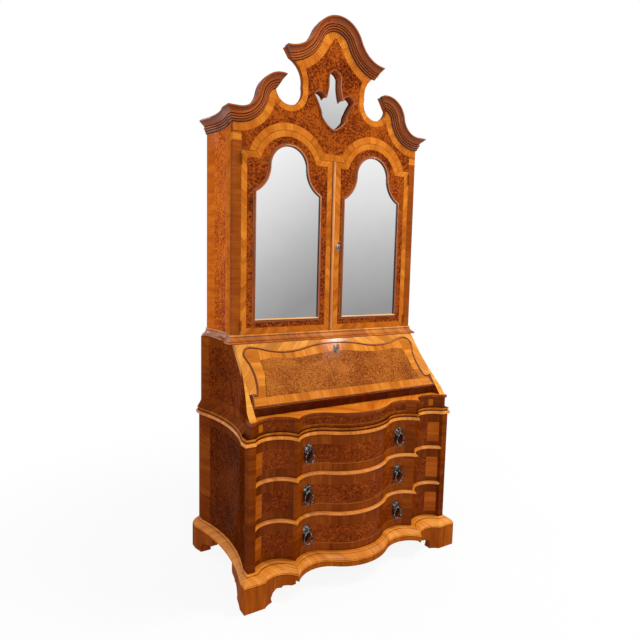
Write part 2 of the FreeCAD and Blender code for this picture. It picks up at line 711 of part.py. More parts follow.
bureau_block = stack([(bureau_plan, waist_top), (bureau_plan, S.bureau_height)])
cheek = block(S.case_inner, far, 0, S.carcass_front, waist_top, S.bureau_height).common(
    under_slope(S.case_inner, far, S.fall_thickness))
open_fall_back = hinge_depth - S.writing_board_gap
cheek = cheek.fuse(block(S.case_inner, far, 0, open_fall_back, ledge_top, S.bureau_height).common(
    under_slope(S.case_inner, far, S.fall_thickness)))
strip = block(S.cheek_inner, far, S.back_thickness, front_far, ledge_top, S.bureau_height).common(
    under_slope(S.cheek_inner, far, 0))
bureau_side = bureau_block.common(cheek.fuse(strip)).removeSplitter()
shaped("bureau_side_right", bureau_side)
shaped("bureau_side_left", mirrored(bureau_side))

# Top board of the bureau, its front edge cut to the slope
top_board = block(-S.case_inner, S.case_inner, S.back_thickness, S.slope_foot_depth,
                  S.bureau_height - S.bureau_top_thickness, S.bureau_height)
shaped("bureau_top", top_board.common(under_slope(-far, far, S.fall_thickness)))

# Hinges of the fall, in the line where its inner face meets the writing board
hinge_starts = [-S.fall_hinge_place, 0, S.fall_hinge_place]
room = [Part.makeCylinder(S.knuckle_radius + S.knuckle_room, S.fall_hinge_length,
                          at(x - S.fall_hinge_length / 2, hinge_depth, hinge_height), Vector(1, 0, 0))
        for x in hinge_starts]
half_hinge = S.fall_hinge_length / 2 - S.knuckle_room
plates = []
leaves = []
for x in hinge_starts:
    start = at(x - half_hinge, hinge_depth, hinge_height)
    knuckle = Part.makeCylinder(S.knuckle_radius, half_hinge, start, Vector(1, 0, 0))
    leaf = block(x - half_hinge, x, hinge_depth - S.fall_leaf_width, hinge_depth,
                 hinge_height - S.fall_leaf_thickness, hinge_height)
    plates.append(knuckle.fuse(leaf).removeSplitter())
    start = at(x + S.knuckle_room, hinge_depth, hinge_height)
    knuckle = Part.makeCylinder(S.knuckle_radius, half_hinge, start, Vector(1, 0, 0))
    leaf = Part.makeBox(half_hinge, S.fall_leaf_width, S.fall_leaf_thickness,
                        Vector(x + S.knuckle_room, -S.fall_length, -S.fall_thickness))
    leaf.Placement = slope_place.multiply(leaf.Placement)
    leaves.append(knuckle.fuse(leaf).removeSplitter())
shaped("fall_hinge_plates", Part.Compound([p.Solids[0] for p in plates]))
shaped("fall_hinge_leaves", Part.Compound([p.Solids[0] for p in leaves]))

# Writing board: its front edge stands just behind the fall's hinge line
writing = block(-S.case_inner, S.case_inner, S.back_thickness, open_fall_back, ledge_top, hinge_height)
shaped("writing_board", writing.cut(Part.Compound(room + plates)))

# Outline of the fall on the slope: x across, y up the slope, top edge of the slope at y = 0
trough_centre = S.fall_trough - S.fall_trough_radius
crown_radius = tangent_radius(S.fall_trough_place, trough_centre * -1, S.fall_trough_radius, -S.fall_crown)


def slope_point(key):
    x, s = FALL_EDGE_SHARES[key]
    return Vector(x * S.fall_half_width, -s * S.fall_length, 0)


def trough_point(x):
    rise = math.sqrt(S.fall_trough_radius ** 2 - (x - S.fall_trough_place) ** 2)
    return Vector(x, -(trough_centre + rise), 0)


def fall_edges():
    """Right half of the fall's outline from the foot up to the middle of the crown."""
    foot = Vector(S.fall_half_width, -S.fall_length, 0)
    cusp = trough_point(FALL_EDGE_SHARES["cusp"] * S.fall_half_width)
    share = S.fall_trough_radius / (S.fall_trough_radius + crown_radius)
    touch = Vector(S.fall_trough_place * (1 - share),
                   -trough_centre + (-S.fall_crown - crown_radius + trough_centre) * share, 0)
    bottom = trough_point(S.fall_trough_place)
    mid = touch.x / 2
    crown = Vector(0, -S.fall_crown, 0)
    crown_mid = Vector(mid, -S.fall_crown - crown_radius + math.sqrt(crown_radius ** 2 - mid ** 2), 0)
    return [line(foot, slope_point("horn")), line(slope_point("horn"), slope_point("notch")),
            arc(slope_point("notch"), slope_point("side"), slope_point("neck")),
            arc(slope_point("neck"), slope_point("shoulder"), slope_point("top")),
            line(slope_point("top"), slope_point("curl")), line(slope_point("curl"), cusp),
            arc(cusp, bottom, touch), arc(touch, crown_mid, crown)]


def mirrored_run(edges):
    """A run of edges on the right, followed by its mirror image running back on the left."""
    right = Part.Wire(edges)
    left = Part.Wire(edges).mirror(Vector(0, 0, 0), Vector(1, 0, 0))
    return Part.Wire(Part.__sortEdges__(right.Edges + left.Edges))


fall_outline = mirrored_run([line(Vector(0, -S.fall_length, 0), Vector(S.fall_half_width, -S.fall_length, 0))]
                            + fall_edges())
fall_face = Part.Face(fall_outline)
key_bore = Part.makeCylinder(S.key_radius + S.key_clearance, S.key_sink + S.plate_thickness,
                             Vector(0, -S.key_place, -S.key_sink))
to_slope = slope_place.inverse()
local_room = [r.copy() for r in room]
local_leaves = [p.copy() for p in leaves]
for piece in local_room + local_leaves:
    piece.Placement = to_slope.multiply(piece.Placement)
fall = fall_face.extrude(Vector(0, 0, -S.fall_thickness)).cut(key_bore)
fall = fall.cut(Part.Compound(local_room)).cut(Part.Compound(local_leaves))
shaped("fall_board", fall, slope_place)

# Half-round bead on the fall, just inside its outline
fall_bead = raised_band(fall_face, Vector(0, 0, 1), S.fall_gap, S.fall_bead_width, S.fall_bead_height)
shaped("fall_bead", fall_bead, slope_place)

# Fixed frame of the slope round the fall
frame_bottom = FALL_EDGE_SHARES["notch"][1] * S.fall_length - S.fall_gap
level_top = S.fall_thickness * out_rise / out_depth
frame_section = [(0, 0), (level_top, -S.fall_thickness), (-frame_bottom, -S.fall_thickness), (-frame_bottom, 0)]
frame = Part.Face(closed([Vector(-S.cheek_inner, y, z) for y, z in frame_section]))
frame = frame.extrude(Vector(2 * S.cheek_inner, 0, 0))
opening = fall_face.makeOffset2D(S.fall_gap, 2, False, False).extrude(Vector(0, 0, -S.fall_thickness))
shaped("slant_frame", frame.cut(opening), slope_place)

# Plate and key of the fall
plate = doc.addObject("Part::Cylinder", "fall_plate_disc")
bound(plate, Radius="sizes.fall_plate_radius", Height="sizes.plate_thickness", Placement__Base__y="-sizes.key_place")
hole = doc.addObject("Part::Cylinder", "fall_plate_hole")
bound(hole, Radius="sizes.key_radius + sizes.key_clearance", Height="sizes.plate_thickness",
      Placement__Base__y="-sizes.key_place")
fall_plate = joined("Part::Cut", "fall_escutcheon", (plate, hole))
fall_plate.Placement = slope_place
keep(fall_plate, "fall_escutcheon")
shank = doc.addObject("Part::Cylinder", "key_shank")
bound(shank, Radius="sizes.key_radius", Height="sizes.key_sink + sizes.plate_thickness + sizes.key_reach",
      Placement__Base__y="-sizes.key_place", Placement__Base__z="-sizes.key_sink + sizes.key_clearance")
bow = doc.addObject("Part::Torus", "key_bow")
bow.Placement = Placement(Vector(0, 0, 0), Rotation(Vector(0, 1, 0), 90))
bound(bow, Radius1="sizes.key_bow_radius", Radius2="sizes.key_bow_wire", Placement__Base__y="-sizes.key_place",
      Placement__Base__z="sizes.plate_thickness + sizes.key_reach + sizes.key_bow_radius")
key = joined("Part::MultiFuse", "fall_key", [shank, bow])
key.Placement = slope_place
keep(key, "fall_key")

# Fitted interior: a case of pigeonholes with a drawer at the foot of each side
fitting_top = S.bureau_height - S.bureau_top_thickness
wall = S.fitting_wall
case_half = S.case_inner
fitting = block(-case_half, case_half, S.back_thickness, S.fitting_front, hinge_height, fitting_top)
cell_back = S.back_thickness + wall
side_start = S.fitting_well_half + wall
side_end = case_half - wall
drawer_foot = hinge_height + wall
drawer_top = drawer_foot + S.inner_drawer_height
hole_start = drawer_top + wall
hole_end = fitting_top - wall
cells = [(-S.fitting_well_half, S.fitting_well_half, hinge_height + wall, hole_end)]
hole_count = 3
hole_width = (side_end - side_start - (hole_count - 1) * wall) / hole_count
for sign in (1, -1):
    cells.append((sign * side_start, sign * side_end, drawer_foot, drawer_top))
    for number in range(hole_count):
        start = side_start + number * (hole_width + wall)
        cells.append((sign * start, sign * (start + hole_width), hole_start, hole_end))
for x0, x1, z0, z1 in cells:
    fitting = fitting.cut(block(min(x0, x1), max(x0, x1), cell_back, S.fitting_front, z0, z1))
shaped("pigeonhole_case", fitting)

gap = S.inner_drawer_gap
thin = S.inner_drawer_wall
for side, sign in (("right", 1), ("left", -1)):
    x0, x1 = sorted((sign * (side_start + gap), sign * (side_end - gap)))
    outer = block(x0, x1, cell_back + gap, S.fitting_front, drawer_foot + gap / 2, drawer_top - gap)
    inside = block(x0 + thin, x1 - thin, cell_back + gap + thin, S.fitting_front - 2 * thin,
                   drawer_foot + thin, drawer_top)
    knob = Part.makeSphere(S.inner_knob_radius, at((x0 + x1) / 2, S.fitting_front + S.inner_knob_radius,
                                                   (drawer_foot + drawer_top) / 2))
    neck = Part.makeCylinder(S.inner_knob_radius / 2, S.inner_knob_radius,
                             at((x0 + x1) / 2, S.fitting_front, (drawer_foot + drawer_top) / 2), Vector(0, -1, 0))
    shaped("inner_drawer_" + side, outer.cut(inside).fuse(neck.fuse(knob)).removeSplitter())

# Upper case: base moulding, hollow sides, back, bottom, top, shelves and face stiles
base_levels = [(upper_plan.grown(flare * S.upper_base_flare), S.bureau_height + rise * S.upper_base_height)
               for rise, flare in UPPER_BASE_SHARES]
upper_open = block(-S.upper_inner, S.upper_inner, S.back_thickness, S.upper_depth - S.face_thickness,
                   S.bureau_height, upper_foot)
shaped("upper_base_moulding", stack(base_levels).cut(upper_open))
upper_side = stack([(upper_plan, upper_foot), (upper_plan, stile_top)]).common(
    block(S.upper_inner, far, 0, S.upper_depth - S.face_thickness, upper_foot, stile_top))
shaped("upper_side_right", upper_side)
shaped("upper_side_left", mirrored(upper_side))
UPPER_FOOT = "sizes.bureau_height + sizes.upper_base_height"
STILE_TOP = "sizes.crest_height - sizes.stile_top_drop"
UPPER_TALL = "%s - (%s)" % (STILE_TOP, UPPER_FOOT)
BACK_Y = "sizes.plinth_bow_depth / 2 - sizes.back_thickness"
UPPER_Y = "sizes.plinth_bow_depth / 2 - sizes.upper_depth + sizes.face_thickness"
UPPER_DEEP = "sizes.upper_depth - sizes.face_thickness - sizes.back_thickness"
keep(board("upper_back", "-sizes.upper_inner", BACK_Y, UPPER_FOOT, "2 * sizes.upper_inner", "sizes.back_thickness",
           UPPER_TALL), "upper_back")
keep(board("upper_bottom", "-sizes.upper_inner", UPPER_Y, UPPER_FOOT + " - sizes.upper_board",
           "2 * sizes.upper_inner", UPPER_DEEP, "sizes.upper_board"), "upper_bottom")
keep(board("upper_top", "-sizes.upper_inner", UPPER_Y, STILE_TOP + " - sizes.upper_board",
           "2 * sizes.upper_inner", UPPER_DEEP, "sizes.upper_board"), "upper_top")
shelves = [board(name, "-sizes.upper_inner", UPPER_Y + " + sizes.shelf_set_back",
                 "%s + (%s) * sizes.%s" % (UPPER_FOOT, UPPER_TALL, share),
                 "2 * sizes.upper_inner", UPPER_DEEP + " - sizes.shelf_set_back", "sizes.upper_board")
           for name, share in (("low_shelf_board", "shelf_low_share"), ("high_shelf_board", "shelf_high_share"))]
keep(joined("Part::Compound", "shelves", shelves), "shelves")
stiles = [board("face_stile_" + side, start, "sizes.plinth_bow_depth / 2 - sizes.upper_depth", UPPER_FOOT,
                "sizes.upper_half_width - sizes.stile_inner", "sizes.face_thickness",
                UPPER_TALL)
          for side, start in (("right", "sizes.stile_inner"), ("left", "-sizes.upper_half_width"))]
keep(joined("Part::Compound", "face_stiles", stiles), "face_stiles")

# Doors: arched boards with a sunk mirror, a bead round it and loose-pin hinges at the outer edge
door_in = S.door_gap
door_out = S.stile_inner - S.door_hinge_gap
door_middle = (door_in + door_out) / 2
arch_centre = arch_height - S.arch_radius
face_front = S.upper_depth
face_back = S.upper_depth - S.face_thickness


def arch_edges(grow, foot, outer, inner):
    """Outline of a door or of its opening: square body, ears and a round arch."""
    ear = ear_height + grow
    radius = S.arch_radius + grow
    reach = math.sqrt(radius ** 2 - (ear - arch_centre) ** 2)
    p = [at(inner, face_back, foot), at(outer, face_back, foot), at(outer, face_back, ear),
         at(door_middle + reach, face_back, ear), at(door_middle, face_back, arch_centre + radius),
         at(door_middle - reach, face_back, ear), at(inner, face_back, ear)]
    return [line(p[0], p[1]), line(p[1], p[2]), line(p[2], p[3]), arc(p[3], p[4], p[5]), line(p[5], p[6]),
            line(p[6], p[0])]


def mirror_wire(grow, depth):
    """Outline of the mirror: square foot, reverse-curved shoulders and a round head."""
    half = S.mirror_half_width + grow
    low = S.mirror_bottom - grow
    head_radius = S.mirror_arc_radius + grow
    head = mirror_top - S.mirror_arc_radius
    reverse = S.mirror_reverse_radius - grow
    spread = S.mirror_arc_radius + S.mirror_reverse_radius
    shoulder = head - math.sqrt(reverse ** 2 - (spread - half) ** 2)
    middle_angle = math.atan2(head - shoulder, spread - half) / 2
    bend = (spread - reverse * math.cos(middle_angle), head - reverse * math.sin(middle_angle))
    spots = [(half, low), (half, shoulder), bend, (head_radius, head), (0, head + head_radius)]
    right = [at(door_middle + x, depth, z) for x, z in spots]
    left = [at(door_middle - x, depth, z) for x, z in spots]
    return Part.Wire([line(left[0], right[0]), line(right[0], right[1]), arc(right[1], right[2], right[3]),
                      arc(right[3], right[4], left[3]), arc(left[3], left[2], left[1]), line(left[1], left[0])])


door_plate_face = Part.Face(Part.Wire(arch_edges(0, upper_foot + S.door_gap, door_out, door_in)))
door_board = door_plate_face.extrude(Vector(0, -S.face_thickness, 0))
sunk_edge = S.mirror_bead_width / 2
mirror_back = face_front - S.mirror_thickness
mirror_plate = Part.Face(mirror_wire(sunk_edge, mirror_back)).extrude(Vector(0, -S.mirror_thickness, 0))
door_board = door_board.cut(mirror_plate)
hinge_axis = S.upper_depth + S.hinge_stand
hinge_solids = []
for low in (S.low_hinge_height, high_hinge_height):
    barrel = Part.makeCylinder(S.hinge_barrel_radius, S.hinge_barrel_length, at(S.stile_inner, hinge_axis, low))
    balls = [Part.makeSphere(S.hinge_ball_radius, at(S.stile_inner, hinge_axis, z))
             for z in (low, low + S.hinge_barrel_length)]
    leaf = block(door_out - S.hinge_leaf_thickness, door_out, face_front - S.hinge_leaf_depth, hinge_axis, low,
                 low + S.hinge_barrel_length)
    hinge_solids.append(barrel.multiFuse(balls + [leaf]).removeSplitter())
hinges = Part.Compound([h.Solids[0] for h in hinge_solids])
door_board = door_board.cut(hinges)
bead_wire = mirror_wire(sunk_edge, face_front)
door_bead = half_round(bead_wire, Vector(0, -1, 0), S.mirror_bead_width, S.mirror_bead_height)
keyhole = Part.makeCylinder(S.keyhole_radius, S.plate_thickness + S.face_thickness / 2,
                            at(S.keyhole_place, face_front + S.plate_thickness, S.keyhole_height), Vector(0, 1, 0))
door_disc = Part.makeCylinder(S.door_plate_radius, S.plate_thickness,
                              at(S.keyhole_place, face_front, S.keyhole_height), Vector(0, -1, 0))
lap = S.door_gap
astragal_path = Part.Wire([line(at(lap + S.astragal_width / 2, face_front, upper_foot + lap),
                                at(lap + S.astragal_width / 2, face_front, ear_height))])
astragal = half_round(astragal_path, Vector(0, -1, 0), S.astragal_width, S.astragal_height)
shaped("door_right", Part.Compound([door_board.cut(keyhole).Solids[0], door_bead, astragal]))
shaped("door_left", Part.Compound([mirrored(door_board).Solids[0], mirrored(door_bead)]))
shaped("door_right_mirror", mirror_plate)
shaped("door_left_mirror", mirrored(mirror_plate))
shaped("door_right_hinges", hinges)
shaped("door_left_hinges", mirrored(hinges))
shaped("door_escutcheon", door_disc.cut(keyhole))

# Pediment: curves shared by the board and its mouldings, in the plane of a given depth
dip_centre = neck_dip_height + S.neck_dip_radius


def neck_crown_radius():
    """Crown radius of the neck that touches the dip's circle."""
    width = S.neck_dip_place - S.neck_crown_place
    rise = dip_centre - neck_crown_height
    return (width ** 2 + rise ** 2 - S.neck_dip_radius ** 2) / (2 * (S.neck_dip_radius - rise))


crown_r = neck_crown_radius()
crown_centre = neck_crown_height - crown_r
crest_centre = S.crest_height - S.crest_radius


def crest_dip_radius():
    """Radius of the hollow that joins the crest's head to its tip."""
    rise = crest_tip_height - crest_centre
    return (S.crest_tip_place ** 2 + rise ** 2 - S.crest_radius ** 2) / (2 * (S.crest_radius - rise))


crest_dip = crest_dip_radius()
crest_dip_centre = crest_tip_height + crest_dip


def circle_point(x, z, radius, degrees):
    angle = math.radians(degrees)
    return (x + radius * math.cos(angle), z + radius * math.sin(angle))


def neck_path(depth, drop, end_place):
    """The neck's top curve moved in by a drop: level from an outer place, then up and over its tip."""
    dip_r = S.neck_dip_radius + drop
    top_r = crown_r - drop
    join = math.degrees(math.atan2(crown_centre - dip_centre, S.neck_crown_place - S.neck_dip_place))
    straight_down = -90
    first = circle_point(S.neck_dip_place, dip_centre, dip_r, straight_down)
    bend = circle_point(S.neck_dip_place, dip_centre, dip_r, (straight_down + join - 360 * (join > 0)) / 2)
    touch = circle_point(S.neck_dip_place, dip_centre, dip_r, join)
    tip_angle = math.degrees(math.acos((S.neck_tip_place - S.moulding_width - S.neck_crown_place) / crown_r))
    top_join = math.degrees(math.atan2(touch[1] - crown_centre, touch[0] - S.neck_crown_place))
    arch = circle_point(S.neck_crown_place, crown_centre, top_r, (top_join + tip_angle) / 2)
    last = circle_point(S.neck_crown_place, crown_centre, top_r, tip_angle)
    spots = [at(x, depth, z) for x, z in (first, bend, touch, arch, last)]
    tail = line(at(end_place, depth, first[1]), spots[0])
    return [tail, arc(spots[0], spots[1], spots[2]), arc(spots[2], spots[3], spots[4])]


def crest_path(depth, drop):
    """The crest's top curve moved in by a drop, from beyond the right tip over the head."""
    dip_r = crest_dip + drop
    join = math.degrees(math.atan2(crest_centre - crest_dip_centre, -S.crest_tip_place))
    over = S.moulding_width / 2
    start = -90 + math.degrees(math.asin(over / dip_r))
    first = circle_point(S.crest_tip_place, crest_dip_centre, dip_r, start)
    bend = circle_point(S.crest_tip_place, crest_dip_centre, dip_r, (start + join) / 2)
    touch = circle_point(S.crest_tip_place, crest_dip_centre, dip_r, join)
    spots = [first, bend, touch]
    right = [at(x, depth, z) for x, z in spots]
    left = [at(-x, depth, z) for x, z in spots]
    return [arc(right[0], right[1], right[2]), arc(right[2], at(0, depth, S.crest_height - drop), left[2]),
            arc(left[2], left[1], left[0])]


def cornice_profile(path):
    """The moulding's section at the start of a path: inwards from the curve, and out to the front."""
    edge = path.OrderedEdges[0]
    start = edge.valueAt(edge.FirstParameter)
    along = edge.tangentAt(edge.FirstParameter)
    outwards = Vector(0, -1, 0)
    inwards = along.cross(outwards).normalize()
    if inwards.z > 0:
        inwards = inwards * -1
    return closed([start + inwards * (a * S.moulding_width) + outwards * (b * S.moulding_reach)
                   for a, b in CORNICE_SHARES])


tall = S.crest_height + S.overrun
neck_wire = Part.Wire(neck_path(face_front, 0, S.neck_dip_place + S.moulding_width))
neck = swept(neck_wire, cornice_profile(neck_wire))
mitre = S.upper_half_width - S.upper_depth
mitre_reach = S.moulding_reach + S.overrun
neck = neck.common(plan_prism([(0, face_front), (S.upper_half_width, face_front),
                               (S.upper_half_width + mitre_reach, face_front + mitre_reach),
                               (0, face_front + mitre_reach)], ear_height, tall))
neck_tip = crown_centre + math.sqrt(crown_r ** 2 - (S.neck_tip_place - S.neck_crown_place) ** 2)
cut_run = S.neck_cut_place - S.neck_tip_place
neck_cut = [(S.neck_tip_place - CUT_STRETCH * cut_run, neck_tip + CUT_STRETCH * S.moulding_width),
            (S.neck_tip_place + CUT_STRETCH * cut_run, neck_tip - CUT_STRETCH * S.moulding_width),
            (far, ear_height), (far, tall)]
neck = neck.common(front_prism(neck_cut, face_back, front_far))
shaped("neck_mouldings", both(neck))

crest_wire = Part.Wire(crest_path(face_front, 0))
crest = swept(crest_wire, cornice_profile(crest_wire))
crest_run = S.crest_tip_place - S.crest_cut_place
crest_drop = math.sqrt(S.void_upper_radius ** 2 - (S.void_upper_place - S.crest_cut_place) ** 2)
crest_fall = crest_tip_height - (void_upper_height + crest_drop)
crest_stretch = (tall - crest_tip_height) / crest_fall
crest_half = [(S.crest_tip_place + crest_stretch * crest_run, tall),
              (S.crest_tip_place - CUT_STRETCH * crest_run, crest_tip_height - CUT_STRETCH * crest_fall)]
crest_limits = crest_half + [(-x, z) for x, z in crest_half[::-1]]
crest = crest.common(front_prism(crest_limits, face_back, front_far))
shaped("crest_moulding", crest.removeSplitter())

# Pediment board: crest and neck outline, C-shaped voids, door arches and the cartouche's hole
crest_foot = crest_tip_height - crest_fall
blob_path = crest_path(face_back, S.board_lip)
blob_ends = [blob_path[0].valueAt(blob_path[0].FirstParameter), blob_path[-1].valueAt(blob_path[-1].LastParameter)]
blob_low = [Vector(p.x, p.y, crest_foot) for p in blob_ends]
blob_face = Part.Face(Part.Wire(blob_path + [line(blob_ends[1], blob_low[1]), line(blob_low[1], blob_low[0]),
                                             line(blob_low[0], blob_ends[0])]))
blob_limits = [crest_half[0], (S.crest_cut_place, crest_foot), (-S.crest_cut_place, crest_foot),
               (-crest_half[0][0], crest_half[0][1])]
blob = blob_face.extrude(Vector(0, -S.face_thickness, 0)).common(front_prism(blob_limits, face_back, face_front))
centre = block(-S.crest_cut_place, S.crest_cut_place, face_back, face_front, stile_top, crest_foot)
neck_over = neck_path(face_back, S.board_lip, S.upper_half_width)
over_ends = [neck_over[0].valueAt(neck_over[0].FirstParameter), neck_over[-1].valueAt(neck_over[-1].LastParameter)]
over_low = [Vector(p.x, p.y, stile_top) for p in over_ends]
shoulder_face = Part.Face(Part.Wire(neck_over + [line(over_ends[1], over_low[1]), line(over_low[1], over_low[0]),
                                                 line(over_low[0], over_ends[0])]))
shoulder = shoulder_face.extrude(Vector(0, -S.face_thickness, 0))


def disc(x, z, radius):
    return Part.makeCylinder(radius, S.face_thickness, at(x, face_back, z), Vector(0, -1, 0))


left_of_cut = front_prism([(0, tall), (neck_cut[0][0], tall), neck_cut[0], neck_cut[1], (neck_cut[1][0], ear_height),
                           (0, ear_height)], face_back, face_front)
inner_column = block(0, S.crest_cut_place, face_back, face_front, ear_height, tall)
void = disc(S.void_upper_place, void_upper_height, S.void_upper_radius).common(inner_column).fuse(
    disc(S.void_lower_place, void_lower_height, S.void_lower_radius).common(left_of_cut))
apron_board = block(-S.stile_inner, S.stile_inner, face_back, face_front, ear_height, stile_top)
pediment = centre.multiFuse([blob, shoulder, mirrored(shoulder), apron_board])
pediment = pediment.cut(void).cut(mirrored(void))
doorway = Part.Face(Part.Wire(arch_edges(S.arch_gap, upper_foot, S.stile_inner, 0))).extrude(
    Vector(0, -S.face_thickness, 0))
pediment = pediment.cut(doorway).cut(mirrored(doorway))


def cartouche_wire(depth):
    """The cartouche's outline: a round head, two side lobes and a pointed foot."""
    edges = []
    for run in CARTOUCHE_SHARES:
        spots = [at(x * S.cartouche_half_width, depth, cartouche_low + z * S.cartouche_height) for x, z in run]
        edges.append(line(*spots) if len(spots) == 2 else arc(*spots))
    right = Part.Wire(edges)
    return Part.Wire(Part.__sortEdges__(right.Edges + mirrored(right).Edges))


cartouche_face = Part.Face(cartouche_wire(face_back))
cartouche_glass = cartouche_face.extrude(Vector(0, -S.mirror_thickness, 0))
cartouche_hole = cartouche_face.extrude(Vector(0, -S.face_thickness, 0))
shaped("pediment_board", pediment.cut(cartouche_hole).removeSplitter())
shaped("cartouche_mirror", cartouche_glass)
shaped("cartouche_rim", raised_band(Part.Face(cartouche_wire(face_front)), Vector(0, -1, 0),
                                    -S.cartouche_rim_width / 2, S.cartouche_rim_width, S.cartouche_rim_height))

# Side cornices, mitred to the neck mouldings at the front corners
cornice_height = neck_dip_height - stile_top
cornice_levels = [(upper_plan.grown(out * S.moulding_reach), stile_top + rise * cornice_height)
                  for rise, out in SIDE_CORNICE_SHARES]
side_limits = [(S.upper_inner, 0), (far, 0), (far, far - mitre), (S.upper_half_width, face_front),
               (S.upper_half_width, face_back), (S.upper_inner, face_back)]
side_cornice = stack(cornice_levels).common(plan_prism(side_limits, stile_top, tall))
shaped("side_cornices", both(side_cornice))

# Drawers: a serpentine front on an open box, with two rosettes whose posts carry the bails


def bail_runs():
    """The pear-shaped loop of a bail round its pin, as points (x, z): pin, corner, side and bow."""
    corner, drop, bow = S.bail_pin_half, S.bail_drop, S.bail_bow_radius
    span = math.hypot(corner, drop)
    touch_angle = math.atan2(drop, corner) - math.acos(bow / span)
    touch = (bow * math.cos(touch_angle), -drop + bow * math.sin(touch_angle))
    run = math.hypot(touch[0] - corner, touch[1])
    way = ((touch[0] - corner) / run, touch[1] / run)
    turn = math.acos(way[0])
    reach = S.bail_corner * math.tan(turn / 2)
    start = (corner - reach, 0)
    end = (corner + way[0] * reach, way[1] * reach)
    bend = (start[0] + S.bail_corner * math.sin(turn / 2), -S.bail_corner * (1 - math.cos(turn / 2)))
    return start, bend, end, touch, (0, -drop - bow)


def bail(name, x_text, z_text):
    """A bail: a round wire carried along its loop, centred on the pin, then set in its post."""
    body = doc.addObject("PartDesign::Body", name)
    planes = {o.Role: o for o in body.Origin.OriginFeatures}
    path = body.newObject("Sketcher::SketchObject", name + "_path")
    path.AttachmentSupport = [(planes["XZ_Plane"], "")]
    path.MapMode = "FlatFace"
    right = [Vector(x, z, 0) for x, z in bail_runs()]
    left = [Vector(-v.x, v.y, 0) for v in right]
    middle = Vector(0, 0, 0)
    runs = [Part.LineSegment(middle, right[0]), Part.Arc(right[0], right[1], right[2]),
            Part.LineSegment(right[2], right[3]), Part.Arc(right[3], right[4], left[3]),
            Part.LineSegment(left[3], left[2]), Part.Arc(left[2], left[1], left[0]),
            Part.LineSegment(left[0], middle)]
    for run in runs:
        path.addGeometry(run, False)
    wire = body.newObject("Sketcher::SketchObject", name + "_wire")
    wire.AttachmentSupport = [(planes["YZ_Plane"], "")]
    wire.MapMode = "FlatFace"
    wire.addGeometry(Part.Circle(middle, Vector(0, 0, 1), 1), False)
    wire.addConstraint(Sketcher.Constraint("Coincident", 0, 3, -1, 1))
    size = wire.addConstraint(Sketcher.Constraint("Radius", 0, 1.0))
    wire.setExpression("Constraints[%d]" % size, "sizes.bail_wire")
    doc.recompute()
    pipe = body.newObject("PartDesign::AdditivePipe", name + "_loop")
    pipe.Profile = wire
    pipe.Spine = (path, ["Edge%d" % (n + 1) for n in range(len(runs))])
    bound(body, Placement__Base__x=x_text, Placement__Base__z=z_text,
          Placement__Base__y="sizes.plinth_bow_depth / 2 - sizes.handle_plane")
    return body


DRAWERS = (("bottom", plinth_top, S.bottom_drawer_height, "sizes.foot_height + sizes.plinth_height",
            "sizes.bottom_drawer_height"),
           ("middle", low_board + S.board_thickness, S.middle_drawer_height,
            LOW_BOARD + " + sizes.board_thickness", "sizes.middle_drawer_height"),
           ("top", mid_board + S.board_thickness, S.top_drawer_height, MID_BOARD + " + sizes.board_thickness",
            "sizes.top_drawer_height"))
for name, foot, height, foot_text, height_text in DRAWERS:
    low, high = foot + S.drawer_gap, foot + height - S.drawer_gap
    front_shape = stack([(face_plan, low), (face_plan, high)]).common(
        block(-S.post_inner + S.drawer_gap, S.post_inner - S.drawer_gap, S.drawer_front_back, front_far, low, high))
    pivot = foot + height / 2 + S.handle_rise
    across = S.handle_plane - S.rosette_seat
    rosette = Part.makeCylinder(S.rosette_radius, S.rosette_thickness, at(S.handle_place, S.rosette_seat, pivot),
                                Vector(0, -1, 0))
    front = doc.addObject("Part::Feature", name + "_drawer_front")
    front.Shape = front_shape.cut(rosette).cut(mirrored(rosette))
    deep = "(sizes.drawer_front_back - sizes.back_thickness - sizes.drawer_wall)"
    box = tray(name + "_drawer_box", "2 * (sizes.case_inner - sizes.drawer_side_gap)", deep,
               "(%s - sizes.drawer_head_room)" % height_text,
               ("0", "sizes.plinth_bow_depth / 2 - sizes.drawer_front_back + %s / 2" % deep,
                foot_text + " + sizes.drawer_slip"), "sizes.drawer_wall", "sizes.drawer_floor")
    keep(joined("Part::Compound", name + "_drawer", [front, box]), name + "_drawer")
    pivot_text = "%s + %s / 2 + sizes.handle_rise" % (foot_text, height_text)
    stem = Part.makeCylinder(S.post_radius, across, at(S.handle_place, S.rosette_seat, pivot), Vector(0, -1, 0))
    eye = Part.makeCylinder(S.post_eye_radius, S.post_eye_width,
                            at(S.handle_place - S.post_eye_width / 2, S.handle_plane, pivot), Vector(1, 0, 0))
    pin_hole = Part.makeCylinder(S.bail_wire + S.key_clearance, 2 * S.bail_pin_half,
                                 at(S.handle_place - S.bail_pin_half, S.handle_plane, pivot), Vector(1, 0, 0))
    fitting = rosette.multiFuse([stem, eye]).cut(pin_hole).removeSplitter()
    shaped(name + "_drawer_plates", both(fitting))
    for side, sign in (("left", "-"), ("right", "")):
        label = "%s_%s_bail" % (name, side)
        keep(bail(label, sign + "sizes.handle_place", pivot_text), label)

doc.recompute()

# Every object must be sound before anything is written
for item in doc.Objects:
    if "Invalid" in item.State or "Error" in item.State:
        raise RuntimeError("%s failed: %s" % (item.Name, item.State))
for piece in FEATURES:
    if piece.Shape.isNull() or not piece.Shape.isValid():
        raise RuntimeError("%s has no sound shape" % piece.Label)
    if not piece.Shape.Solids or piece.Shape.Volume <= 0:
        raise RuntimeError("%s holds no solid" % piece.Label)

MM3_IN_CM3 = 1000
os.makedirs("parts", exist_ok=True)
for piece in FEATURES:
    piece.Shape.exportStep("parts/%s.step" % piece.Label)
    box = piece.Shape.BoundBox
    print("%-24s %d solid(s) %9.2f cm3  z %.1f to %.1f"
          % (piece.Label, len(piece.Shape.Solids), piece.Shape.Volume / MM3_IN_CM3, box.ZMin, box.ZMax))
